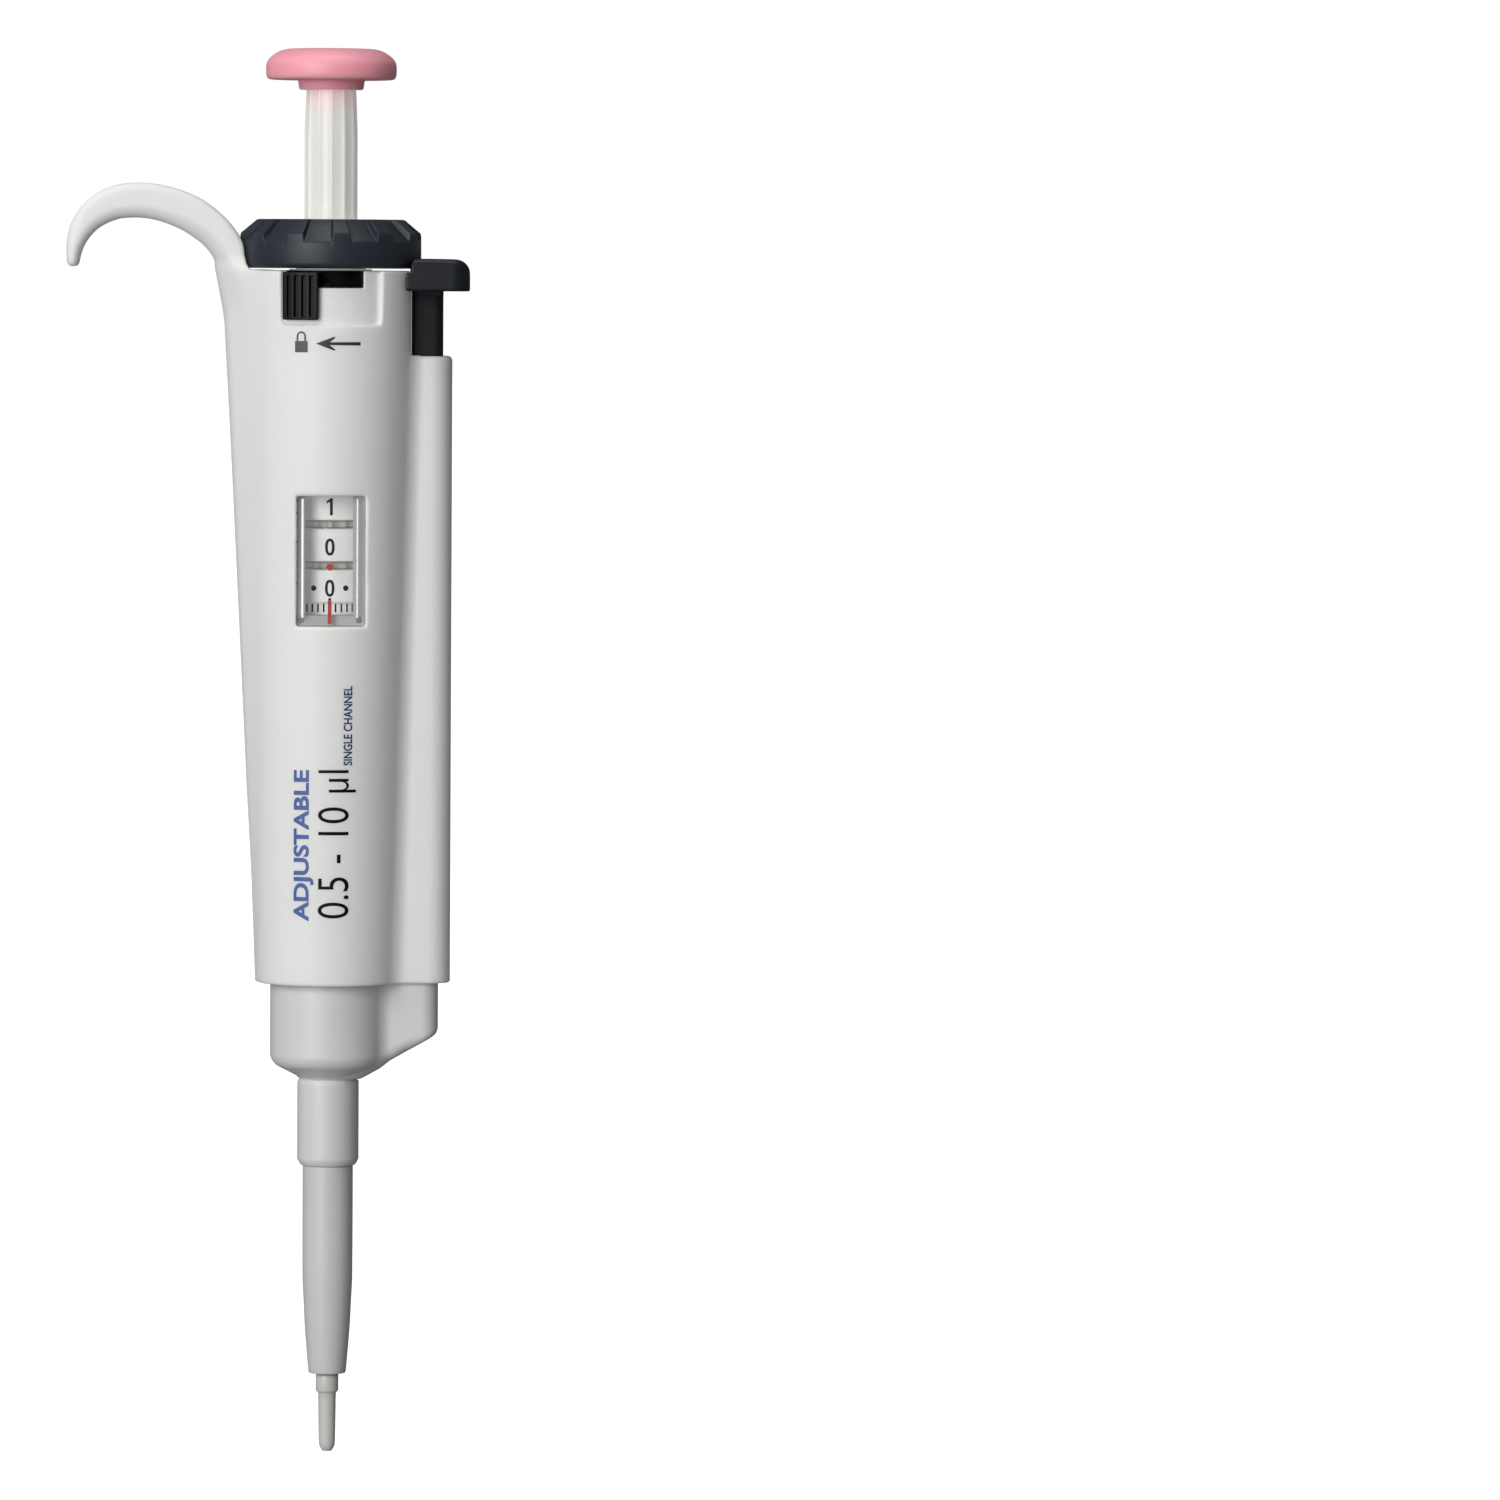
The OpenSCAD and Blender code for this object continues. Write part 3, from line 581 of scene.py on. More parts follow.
B0, B1, CH1 = 84.0, 211.0, 195.9
SPINE_Z = [84, 104, 119, 151, 179, 203, 207, 212]
SPINE_C = [-7.6, -8.35, -9.2, -10.75, -12.15, -13.45, -13.75, -13.95]
OUTER = [(-46.8, 212.3), (-46.88, 214.5), (-46.75, 216.3), (-46.35, 218.2), (-45.75, 219.7), (-44.95, 221.1), (-43.9, 222.35), (-42.4, 223.75),
         (-40.4, 225.05), (-38.2, 225.85), (-36.1, 226.2), (-33.9, 226.3), (-31.8, 226.2), (-29.6, 225.85), (-27.5, 225.35),
         (-25.4, 224.6), (-23.2, 223.6), (-21.1, 222.2), (-18.9, 220.3), (-17.5, 218.75), (-16.25, 217.0), (-14.9, 214.6),
         (-13.2, 211.6), (-11.8, 207.5), (-11.0, 203)]
INNER = [(-14.6, 199.5), (-16.6, 203.0), (-18.35, 207.3), (-19.25, 209.6), (-19.72, 210.9), (-20.25, 212.1), (-21.0, 213.3), (-22.1, 214.75), (-23.2, 215.8),
         (-24.5, 216.75), (-26.4, 217.95), (-28.6, 218.9), (-30.7, 219.6), (-32.8, 220.0), (-35.0, 220.12), (-37.1, 219.98), (-38.2, 219.7),
         (-39.3, 219.3), (-40.4, 218.75), (-41.4, 218.1), (-42.4, 217.15), (-43.15, 216.2), (-43.75, 215.2), (-44.25, 214.0), (-44.5, 213.0), (-44.65, 212.3)]


def catmull(pts, k=6):
    p = [np.array(q, float) for q in pts]
    p = [2 * p[0] - p[1]] + p + [2 * p[-1] - p[-2]]
    out = []
    for i in range(1, len(p) - 2):
        for j in range(k):
            t = j / k
            out.append(0.5 * ((2 * p[i]) + (-p[i - 1] + p[i + 1]) * t + (2 * p[i - 1] - 5 * p[i] + 4 * p[i + 1] - p[i + 2]) * t * t
                              + (-p[i - 1] + 3 * p[i] - 3 * p[i + 1] + p[i + 2]) * t ** 3))
    out.append(p[-2])
    return [tuple(q) for q in out]


def smooth_poly(pts, n=3):
    p = np.array(pts)
    for _ in range(n):
        q = p.copy()
        q[1:-1] = 0.25 * p[:-2] + 0.5 * p[1:-1] + 0.25 * p[2:]
        p = q
    return [tuple(v) for v in p]


tip = [(-46.62, 211.75), (-46.2, 211.45), (-45.65, 211.38), (-45.1, 211.5), (-44.78, 211.85)]
outline = smooth_poly(catmull(OUTER, 5), 3)[::-1] + tip[0:0] + tip + smooth_poly(catmull(INNER, 5), 3)[::-1] + [(-13.6, 198.0), (-10.6, 198.0)]
hook_d = table_2d(outline, (-52, 194), (-6, 232), 0.08)


def curve_table(pts, lo, hi, step):
    """A lookup of the plain distance to an open curve."""
    us, vs = np.arange(lo[0], hi[0] + step, step), np.arange(lo[1], hi[1] + step, step)
    U, V = np.meshgrid(us, vs, indexing="ij")
    d = np.full(U.shape, 1e9)
    for (x0, y0), (x1, y1) in zip(pts[:-1], pts[1:]):
        ex, ey = x1 - x0, y1 - y0
        t = np.clip(((U - x0) * ex + (V - y0) * ey) / max(ex * ex + ey * ey, 1e-12), 0, 1)
        d = np.minimum(d, (U - x0 - ex * t) ** 2 + (V - y0 - ey * t) ** 2)
    T = np.sqrt(d)

    def look(u, v):
        fu = np.clip((u - lo[0]) / step, 0, len(us) - 1.001)
        fv = np.clip((v - lo[1]) / step, 0, len(vs) - 1.001)
        iu, iv = fu.astype(int), fv.astype(int)
        tu, tv = fu - iu, fv - iv
        return ((T[iu, iv] * (1 - tu) + T[iu + 1, iv] * tu) * (1 - tv)
                + (T[iu, iv + 1] * (1 - tu) + T[iu + 1, iv + 1] * tu) * tv)
    return look


hook_out = curve_table(OUTER, (-52, 194), (-6, 232), 0.2)
hook_in = curve_table(INNER, (-52, 194), (-6, 232), 0.2)


def barrel_field(x, y, z):
    zc = np.clip(z, B0, B1)
    R = 13.0 + (zc - B0) * 0.0231
    h = -np.interp(zc, SPINE_Z, SPINE_C)
    r2 = 5.5
    b = (R - r2) / h
    a = np.sqrt(np.maximum(1 - b * b, 1e-6))
    px, py = np.abs(y), -x
    k = -b * px + a * py
    return np.where(k < 0, np.hypot(px, py) - R, np.where(k > a * h, np.hypot(px, py - h) - r2, px * a + py * b - R))


def handle_field(x, y, z):
    bar = barrel_field(x, y, z)
    chan = rint(box2(x - 12.85, y, 8.85, 5.5, 3.9), np.maximum(z - CH1, B0 - z), 0.0)
    chan = rint(box2(x - 12.85, y, 8.85, 5.5, 3.9), z - CH1, 0.9)
    side = runi(bar, chan, 1.7)
    # flat beside the ejector bar
    cut = np.maximum(14.35 - x, CH1 + 0.05 - z)
    side = rint(side, -cut, 0.25)
    out = rint(rint(side, z - B1, 0.3), B0 - z, 0.22)
    # hook, over its own region only
    m = (x < -5) & (z > 190)
    if np.any(m):
        xm, ym, zm = x[m], y[m], z[m]
        d2 = hook_d(xm, zm)
        w = np.interp(xm, [-47, -44, -30, -22, -16], [4.3, 4.7, 5.6, 6.1, 6.6])
        # the root sinks into the barrel's side
        t = np.clip((zm - 197.5) / 14.5, 0, 1)
        w = np.where(xm > -24, 1.6 + (w - 1.6) * t * t * (3 - 2 * t), w)
        do, di = hook_out(xm, zm), hook_in(xm, zm)
        q = di / (di + do + 1e-6)
        q = q * q * (3 - 2 * q)
        low = np.interp(xm, [-46, -40, -26, -19], [1.8, 2.4, 3.1, 5.0])
        hk = rint(d2, np.abs(ym) - w, low + (1.25 - low) * q)
        o = out[m]
        o = runi(o, hk, 3.2)
        out = out.copy()
        out[m] = o
    r = rho(x, y)
    # room for the dial ring
    ring = np.maximum(r - 16.45, B1 - z)
    out = rint(out, -ring, 0.3)
    # inside
    bore = np.maximum(r - (11.0 + (np.clip(z, B0, 209) - 83.9) * 1.6 / 125.1), z - 209)
    bore = np.minimum(bore, r - 7.4)
    bore = np.minimum(bore, np.maximum(np.hypot(x + 10.5, y) - 4.3, np.abs(z - 161) - 17))
    ch = np.maximum(box2(x - 17.35, y, 3.05, 4.4, 2.0), z - 209)
    arm = np.maximum(np.maximum(np.abs(x - 13.5) - 4.5, np.abs(y) - 4.4), z - 98)
    cav = np.minimum(np.minimum(bore, ch), arm)
    out = rint(out, -cav, 0.3)
    # display opening
    win = np.maximum(box2(x - 0.2, z - 159.55, 6.1, 11.55, 0.45), y + 9)
    out = rint(out, -win, 0.42)
    # recess and slot of the lock lever
    ph = np.degrees(np.arctan2(x, -y))
    arc = np.radians(ph) * 15.4
    rec = np.maximum(box2(arc - np.radians(0.5) * 15.4, z - 210.4, np.radians(34.5) * 15.4, 9.0, 0.9), 14.9 - r)
    out = rint(out, -rec, 0.3)
    slot_hi = np.maximum(np.maximum(np.abs(ph + 4.55) - 27.55, 0) * 0.26 + np.where(np.abs(ph + 4.55) < 27.55, (np.abs(ph + 4.55) - 27.55) * 0.26, 0), 207.9 - z)
    slot = np.maximum(np.maximum(slot_hi, 9.4 - r), y)
    out = rint(out, -slot, 0.2)
    return out


H_BODY = 0.38
handle = sdf_mesh("handle_shell", handle_field, (-49, -18, 82.5), (23.5, 18, 228), H_BODY, M["shell"])
place(handle, "handle", "shell", "handle_body")


# ------------------------------------------------------------------ push button, rod, dial

button_out = [(0, 250.22), (3, 250.25), (6.0, 250.27), (7.6, 250.22), (8.6, 250.03), (9.4, 249.72), (10.2, 249.22), (10.9, 248.65), (11.35, 248.05),
              (11.58, 247.4), (11.62, 246.6), (11.58, 245.7), (11.42, 245.15), (11.1, 244.85), (10.6, 244.76)]
button_in = [(6.2, 244.76), (5.98, 244.66), (5.9, 244.4), (5.78, 243.5), (5.7, 243.15), (5.5, 243.0), (4.95, 243.0), (4.9, 243.05), (4.9, 243.6), (3.65, 243.6), (3.65, 248.2), (0, 248.2)]
button = lathe("button_cap", smooth_poly(catmull(button_out, 4), 1) + button_in, M["pink"], seg=192, closed=False, sharp=50)
place(button, "plunger", "button_pink", "push_button")


def rod_mesh():
    n, per = 12, 20
    zs = list(np.linspace(191, 234, 12)) + list(np.linspace(235, 243.5, 14))
    verts, faces = [], []
    N = n * per
    for z in zs:
        t = np.clip((z - 234.5) / 8.5, 0, 1)
        R = 4.76 - 0.32 * t ** 1.4
        dep = 0.49 * (1 - 0.3 * t)
        for k in range(N):
            a = 2 * math.pi * k / N
            # scalloped: ridges with round crests, one ridge at 1 degree right of the front
            u = abs(((math.degrees(a) + 89) / 30.0) % 1.0 - 0.5) * 2      # 0 in a flute's middle, 1 on a ridge
            s = 1 - u ** 2.6
            r = R - dep * s
            verts.append((r * math.cos(a), r * math.sin(a), z))
    m = len(zs)
    for i in range(m - 1):
        for k in range(N):
            k2 = (k + 1) % N
            faces.append((i * N + k, i * N + k2, (i + 1) * N + k2, (i + 1) * N + k))
    # flat caps below and above
    faces.append(list(range(N))[::-1])
    faces.append([(m - 1) * N + k for k in range(N)])
    return new_object("plunger_stem", verts, faces, M["rod"], sharp=60)


rod = rod_mesh()
place(rod, "plunger", "rod_white", "plunger_rod")


def dial_mesh():
    """The dial ring: a turned section whose shoulder steps between ribs and grooves round the edge."""
    per = 28
    N = 12 * per
    rib = [(6.24, 211.5), (6.24, 220.0 - 0.15), (6.4, 220), (9.5, 220), (12.6, 220), (12.95, 219.97), (13.25, 219.85), (14.2, 219.05), (15.2, 218.2),
           (15.85, 217.68), (16.0, 217.5), (16.08, 217.2), (16.1, 216.85), (16.1, 216.3), (16.1, 214.5), (16.1, 212.3), (16.03, 211.95), (15.85, 211.6), (15.55, 211.38), (15.2, 211.3),
           (13.8, 211.3), (13.6, 211.45), (13.6, 216.0), (8.6, 216.0), (8.6, 211.6), (8.5, 211.5)]
    gro = [(6.24, 211.5), (6.24, 220.0 - 0.15), (6.4, 220), (9.2, 220), (11.4, 220), (11.75, 219.96), (12.05, 219.8), (13.15, 218.74), (14.4, 217.55),
           (15.3, 216.72), (15.7, 216.34), (15.95, 216.1), (16.05, 215.9), (16.1, 215.6), (16.1, 214.4), (16.1, 212.3), (16.03, 211.95), (15.85, 211.6), (15.55, 211.38), (15.2, 211.3),
           (13.8, 211.3), (13.6, 211.45), (13.6, 216.0), (8.6, 216.0), (8.6, 211.6), (8.5, 211.5)]
    assert len(rib) == len(gro)
    # angular stations in one 30 degree period, packed where the sides of a rib stand
    half = 5.75
    st = [-15 + 30 * i / 8 for i in range(0)]
    st = [-15, -12.5, -10, -8, -7.0, -6.55, -6.3, -6.05, -5.8, -5.55, -5.3, -5.0, -4.4, -2.5, 0, 2.5, 4.4, 5.0, 5.3, 5.55, 5.8, 6.05, 6.3, 6.55, 7.0, 8, 10, 12.5]
    verts, faces = [], []
    cols = []
    for p in range(12):
        for a in st:
            d = abs(a)
            t = np.clip((d - 5.15) / 1.3, 0, 1)
            g = t * t * (3 - 2 * t)
            ang = math.radians(-90 + 6.7 + 30 * p + a)
            row = []
            for (r0, z0), (r1, z1) in zip(rib, gro):
                r, z = r0 + (r1 - r0) * g, z0 + (z1 - z0) * g
                row.append(len(verts))
                verts.append((r * math.cos(ang), r * math.sin(ang), z))
            cols.append(row)
    m, q = len(cols), len(rib)
    for i in range(m):
        for j in range(q):
            a, b = cols[i], cols[(i + 1) % m]
            faces.append((a[j], b[j], b[(j + 1) % q], a[(j + 1) % q]))
    o = new_object("dial_ring", verts, faces, M["dark"], sharp=38)
    return fix_normals(o)


place(dial_mesh(), "dial", "dial_dark", "volume_dial")


# ------------------------------------------------------------------ lock lever

def lever_field(x, y, z):
    r = rho(x, y)
    ph = np.degrees(np.arctan2(x, -y))
    arc = np.radians(ph + 19.9) * 15.6
    tab = rint(box2(arc, z - 206.45, np.radians(12.0) * 15.6, 4.25, 0.35), np.abs(r - 15.62) - 0.62, 0.25)
    # finger ribs: grooves between them
    u = (ph + 27.6) / 5.1
    fr = np.abs(u - np.round(u)) * 5.1 * 0.27
    tab = rint(tab, -np.maximum(np.maximum(fr - 0.27, 15.6 - r), np.maximum(np.abs(z - 206.35) - 3.6, (np.abs(ph + 19.95) - 9.9) * 0.27)), 0.14)
    stem = np.maximum(np.maximum((np.abs(ph + 20) - 9) * 0.24, np.abs(z - 209.45) - 1.25), np.abs(r - 13.7) - 1.7)
    ring = np.maximum(np.maximum((np.abs(ph + 19) - 19) * 0.21, np.abs(z - 206.05) - 2.65), np.abs(r - 12.025) - 0.275)
    cam = np.maximum(np.maximum((np.abs(ph + 20) - 7) * 0.21, np.abs(z - 204.65) - 1.25), np.abs(r - 11.35) - 0.7)
    return np.minimum(np.minimum(tab, stem), np.minimum(ring, cam))


lever = sdf_mesh("lock_tab", lever_field, (-11, -17.5, 201), (2, -7.5, 212), 0.11, M["black"])
place(lever, "lock", "lever_black", "lock_lever")


def slot_liner_field(x, y, z):
    r = rho(x, y)
    ph = np.degrees(np.arctan2(x, -y))
    mid = -4.55
    arc = (np.abs(ph - mid) - 27.4) * 0.235
    arc_in = (np.abs(ph - mid) - 26.2) * 0.235
    shell = np.maximum(np.maximum(arc, np.abs(z - 209.4) - 1.5), np.maximum(9.45 - r, r - 14.85))
    inner = np.maximum(np.maximum(arc_in, 208.12 - z), 9.8 - r)
    return np.maximum(shell, -inner)


liner = sdf_mesh("lock_slot_liner", slot_liner_field, (-9.5, -15.5, 207.5), (7.5, -6.5, 211.3), 0.12, M["black"], sharp=40)
place(liner, "handle", "lever_black")


# ------------------------------------------------------------------ ejector

def ejector_button_field(x, y, z):
    r = rho(x, y)
    top = z - np.interp(x, [13.0, 18.0, 22.0, 25.0], [213.35, 213.3, 213.15, 212.9])
    hv = 9.95 - 0.08 * np.clip(z - 207.2, 0, 6.5)
    qu, qv = np.abs(x - 17.3) - (7.5 - 3.2), np.abs(y) - (hv - 3.2)
    body2 = (np.hypot(np.maximum(qu, 0), np.maximum(qv, 0)) + np.minimum(np.maximum(qu, qv), 0) - 3.2) * 0.97
    b = rint(body2, top, 1.5)
    b = rint(b, 207.35 - z, 0.45)
    # outer top edge rolls over
    roll = np.hypot(np.maximum(x - 21.9, 0), np.maximum(z - 210.2, 0)) - 2.9
    b = rint(b, roll, 0.3)
    clear = np.where(z > 210.6, 17.0, 16.35)
    b = rint(b, clear - r, 0.4)
    neck = np.maximum(box2(x - 17.26, y, 2.8, 4.1, 0.5), np.abs(z - 208.6) - 2.2)
    return np.minimum(b, neck)


ejb = sdf_mesh("ejector_thumb", ejector_button_field, (10, -10.8, 205.5), (26, 10.8, 214.2), 0.22, M["dark"])
ejb.data.materials[0] = M["thumb"]
place(ejb, "ejector", "dial_dark", "ejector_button")


def bar_mesh():
    prof = fillet([(14.46, -4.1), (20.05, -4.1), (20.05, 4.1), (14.46, 4.1)], [0.4, 1.5, 1.5, 0.4], 8)
    prof = refine(prof, 1.2)
    zs = [125, 125.0, 125.15, 125.5] + list(np.linspace(127, 206.4, 40)) + [206.55, 206.6]
    ins = [0.5, 0.3, 0.08, 0.0] + [0] * 40 + [0, 0.2]
    c = np.array([17.4, 0.0])
    P = np.array(prof)
    verts, faces = [], []
    N = len(P)
    for z, i in zip(zs, ins):
        q = c + (P - c) * (1 - i / 3.0)
        for u in q:
            verts.append((u[0], u[1], z))
    for i in range(len(zs) - 1):
        for k in range(N):
            k2 = (k + 1) % N
            faces.append((i * N + k, i * N + k2, (i + 1) * N + k2, (i + 1) * N + k))
    faces.append(list(range(N))[::-1])
    faces.append([(len(zs) - 1) * N + k for k in range(N)])
    o = new_object("ejector_slide", verts, faces, M["dark"], sharp=40)
    return fix_normals(o)


bar = bar_mesh()
bar.data.materials[0] = M["bar"]
place(bar, "ejector", "dial_dark", "ejector_bar")


def cup_field(x, y, z):
    r = rho(x, y)
    cone = (r - 10.4) * 0.468 - (z - 69.55) * 0.884
    cup = rint(rint(r - 10.4, cone, 1.35), z - 96, 0.3)
    slant = (x - 19.2) * 0.494 - (z - 74.55) * 0.8695
    arm = rint(box2(x - 9.8, y, 9.8, 4.25, 3.0), slant, np.interp(x, [14.0, 18.2], [2.1, 0.9]))
    arm = rint(arm, z - 89, 0.3)
    out = runi(cup, arm, 1.5)
    neck = rint(np.maximum(r - 5.5, z - 68), 51.0 - z, 0.0)
    neck = rint(r - (5.5 - np.clip(52.1 - z, 0, 1.2) * 0.55), 51.0 - z, 0.25)
    neck = np.maximum(neck, z - 68)
    out = runi(out, neck, 0.12)
    out = rint(out, -np.maximum(5.2 - r, np.abs(z - 66.45) - 0.22), 0.08)
    hole = np.where(z > 71.4, r - 9.2, np.where(z > 68, (r - (4.35 + (z - 68) * 1.4265)) * 0.574, r - 4.35))
    out = rint(out, -hole, 0.2)
    return rint(out, -np.maximum(np.hypot(x - 17.2, y) - 1.52, 79.9 - z), 0.1)


cup = sdf_mesh("ejector_housing", cup_field, (-12, -12, 50), (21, 12, 97), 0.34, M["ejector_grey"])
place(cup, "ejector", "ejector_grey", "ejector_cup")

sleeve_out = [(4.42, 51.0), (4.5, 50.9), (4.5, 44), (4.49, 37), (4.46, 30.6), (4.4, 29.2), (4.29, 27.2), (4.18, 24.9), (4.08, 22.7), (3.93, 20.5), (3.75, 18.4), (3.57, 16.2), (3.4, 14.2), (3.35, 13.8), (3.26, 13.62), (3.1, 13.56)]
sleeve_in = [(2.75, 13.56), (2.64, 13.66), (2.62, 14.2), (3.0, 21.5), (3.44, 29.5), (3.55, 31), (3.55, 58.1), (4.2, 58.1), (4.3, 57.9), (4.3, 51.0)]
sleeve = lathe("ejector_tube", sleeve_out + sleeve_in, M["sleeve_grey"], seg=144, sharp=35)
place(sleeve, "ejector", "ejector_grey", "ejector_sleeve")

nozzle_prof = [(0.4, 23.8), (1.38, 23.8), (1.38, 13.3), (1.9, 13.3), (2.0, 13.22), (2.03, 13.1), (2.03, 10.55), (1.99, 10.36), (1.86, 10.18),
               (1.64, 9.98), (1.6, 9.86), (1.57, 8.6), (1.55, 6.6), (1.53, 5.1), (1.5, 3.1), (1.475, 1.8), (1.445, 1.1), (1.39, 0.6), (1.3, 0.25), (1.17, 0.0), (1.03, -0.22), (0.93, -0.4), (0.86, -0.5), (0.74, -0.54),
               (0.62, -0.5), (0.42, -0.1), (0.4, 0.2)]
noz = lathe("nozzle_end", nozzle_prof, M["nozzle_grey"], seg=96, sharp=50)
place(noz, "handle", "nozzle_grey", "nozzle")


# ------------------------------------------------------------------ printed marks

def stroke(points, w):
    """A flat stroke of width w along 2-D points: returns 2-D polygons, one quad a segment, with the joins overlapping."""
    out = []
    for (x0, y0), (x1, y1) in zip(points[:-1], points[1:]):
        dx, dy = x1 - x0, y1 - y0
        L = math.hypot(dx, dy)
        nx, ny = -dy / L * w / 2, dx / L * w / 2
        out.append([(x0 + nx, y0 + ny), (x1 + nx, y1 + ny), (x1 - nx, y1 - ny), (x0 - nx, y0 - ny)])
    return out


def text_shape(text, height, name, bold=0.0):
    """A text object turned into a flat mesh, centred, with the asked height in mm."""
    cu = bpy.data.curves.new(name, "FONT")
    cu.body = text
    cu.align_x = "CENTER"
    cu.align_y = "CENTER"
    cu.resolution_u = 8
    cu.offset = bold
    ob = bpy.data.objects.new(name, cu)
    scene.collection.objects.link(ob)
    bpy.context.view_layer.update()
    me = bpy.data.meshes.new_from_object(ob)
    bpy.data.objects.remove(ob)
    bpy.data.curves.remove(cu)
    co = np.array([v.co[:2] for v in me.vertices])
    lo, hi = co.min(0), co.max(0)
    s = height / (hi[1] - lo[1])
    co = (co - (lo + hi) / 2) * s
    faces = [list(p.vertices) for p in me.polygons]
    bpy.data.meshes.remove(me)
    return co, faces


def wrap(name, shapes, place_fn, mat, thick=0.02, cut=0.5):
    """Joins flat 2-D shapes (points, faces), cuts them into strips, gives them thickness, and bends them with place_fn(u, v, h)."""
    bm = bmesh.new()
    for pts, faces in shapes:
        vs = [bm.verts.new((p[0], p[1], 0)) for p in pts]
        for f in faces:
            try:
                bm.faces.new([vs[i] for i in f])
            except ValueError:
                pass
    if cut:
        xs = [v.co.x for v in bm.verts]
        x = min(xs) + cut
        while x < max(xs):
            bmesh.ops.bisect_plane(bm, geom=bm.verts[:] + bm.edges[:] + bm.faces[:], plane_co=(x, 0, 0), plane_no=(1, 0, 0))
            x += cut
    bmesh.ops.recalc_face_normals(bm, faces=bm.faces)
    for f in bm.faces:
        if f.normal.z < 0:
            f.normal_flip()
    ret = bmesh.ops.extrude_face_region(bm, geom=bm.faces[:])
    top = [g for g in ret["geom"] if isinstance(g, bmesh.types.BMVert)]
    for v in top:
        v.co.z = 1.0
    bmesh.ops.recalc_face_normals(bm, faces=bm.faces)
    for v in bm.verts:
        v.co = Vector(place_fn(v.co.x, v.co.y, v.co.z * thick)) * MM
    me = bpy.data.meshes.new(name)
    bm.to_mesh(me)
    bm.free()
    me.materials.append(mat)
    o = bpy.data.objects.new(name, me)
    scene.collection.objects.link(o)
    return fix_normals(o)


def on_cylinder(radius, phi0, z0):
    """u runs round the axis to the right seen from outside, v up."""
    def f(u, v, h):
        a = math.radians(phi0) + u / radius
        r = radius + h - 0.004
        return (r * math.sin(a), -r * math.cos(a), z0 + v)
    return f


def quads_to_shape(quads):
    pts, faces = [], []
    for q in quads:
        faces.append(list(range(len(pts), len(pts) + len(q))))
        pts += q
    return pts, faces


def disc(cx, cy, r, n=20):
    return [(cx + r * math.cos(2 * math.pi * k / n), cy + r * math.sin(2 * math.pi * k / n)) for k in range(n)]


DR = 9.2


def ring_digit(w, h, t, n=40):
    """The figure 0: an upright oval ring."""
    pts, faces = [], []
    for k in range(n):
        a = 2 * math.pi * k / n
        c, q = math.cos(a), math.sin(a)
        e = 2.0 / 2.35
        cx, cy = math.copysign(abs(c) ** e, c), math.copysign(abs(q) ** e, q)
        pts += [(w / 2 * cx, h / 2 * cy), ((w / 2 - t) * cx, (h / 2 - t) * cy)]
    for k in range(n):
        j = (k + 1) % n
        faces.append([2 * k, 2 * j, 2 * j + 1, 2 * k + 1])
    return pts, faces


def one_digit(h, t):
    """The figure 1: an upright stroke and a short flag."""
    return [(0.0, -h / 2), (t, -h / 2), (t, h / 2), (0.12, h / 2), (-0.62, h / 2 - 0.55), (-0.62, h / 2 - 0.95), (0.0, h / 2 - 0.6)], [[0, 1, 2, 3, 6], [3, 4, 5, 6]]


def drum_digits(name, body, zc, digit_at_rest, dots, mat):
    shapes = []
    for d in range(10):
        phi = -36.0 * (d - digit_at_rest)
        if d == 0:
            pts, faces = ring_digit(1.68, 3.02, 0.48)
        elif d == 1:
            pts, faces = one_digit(3.0, 0.5)
        else:
            pts, faces = text_shape(str(d), 2.95, name + "_t", 0.022)
            pts = [(p[0] * 0.92, p[1]) for p in pts]
        pts = [(p[0] + math.radians(phi) * DR, p[1]) for p in pts]
        shapes.append((pts, faces))
        if dots:
            q = math.radians(phi + 18.0) * DR
            shapes.append((disc(q, 0, 0.5), [list(range(20))]))
            q = math.radians(phi) * DR
            shapes.append(([(q - 0.22, -2.2), (q + 0.22, -2.2), (q + 0.22, -1.75), (q - 0.22, -1.75)], [[0, 1, 2, 3]]))
    o = wrap(name, shapes, on_cylinder(DR, 0, zc), mat, thick=0.025, cut=0.45)
    place(o, body, "lever_black")


drum_digits("digits_hundreds", "hundreds", 169.1, 1, False, M["digit_ink"])
drum_digits("digits_tens", "tens", 161.95, 0, False, M["digit_ink"])
drum_digits("digits_units", "dial", 154.65, 0, True, M["digit_ink"])

ticks = []
for k in range(50):
    a = math.radians(7.2 * k) * 8.35
    h = 1.75 if k % 5 == 0 else 1.5
    ticks.append([(a - 0.15, 0.9 - h), (a + 0.15, 0.9 - h), (a + 0.15, 0.9), (a - 0.15, 0.9)])
place(wrap("volume_ticks", [quads_to_shape(ticks)], on_cylinder(8.35, 0, 150.95), M["digit_ink"], thick=0.02, cut=None), "dial", "lever_black")


def flat_front(y0):
    def f(u, v, h):
        return (u, y0 - h, v)
    return f


place(wrap("decimal_dot", [(disc(0, 158.55, 0.62, 28), [list(range(28))])], flat_front(-13.2), M["red"], thick=0.03, cut=None), "handle", "button_pink")
place(wrap("index_line", [([(-0.34, 148.4), (0.34, 148.4), (0.34, 152.6), (-0.34, 152.6)], [[0, 1, 2, 3]])], flat_front(-13.2), M["red"], thick=0.03, cut=None), "handle", "button_pink")


def strip(name, x0, x1, z0, z1, y0, y1, mat):
    prof = fillet([(x0, y0), (x1, y0), (x1, y1), (x0, y1)], 0.12, 4)
    v = [(p[0], p[1], z) for z in (z0, z1) for p in prof]
    n = len(prof)
    f = [(k, (k + 1) % n, n + (k + 1) % n, n + k) for k in range(n)] + [list(range(n))[::-1], [n + k for k in range(n)]]
    return fix_normals(new_object(name, v, f, mat, sharp=50))
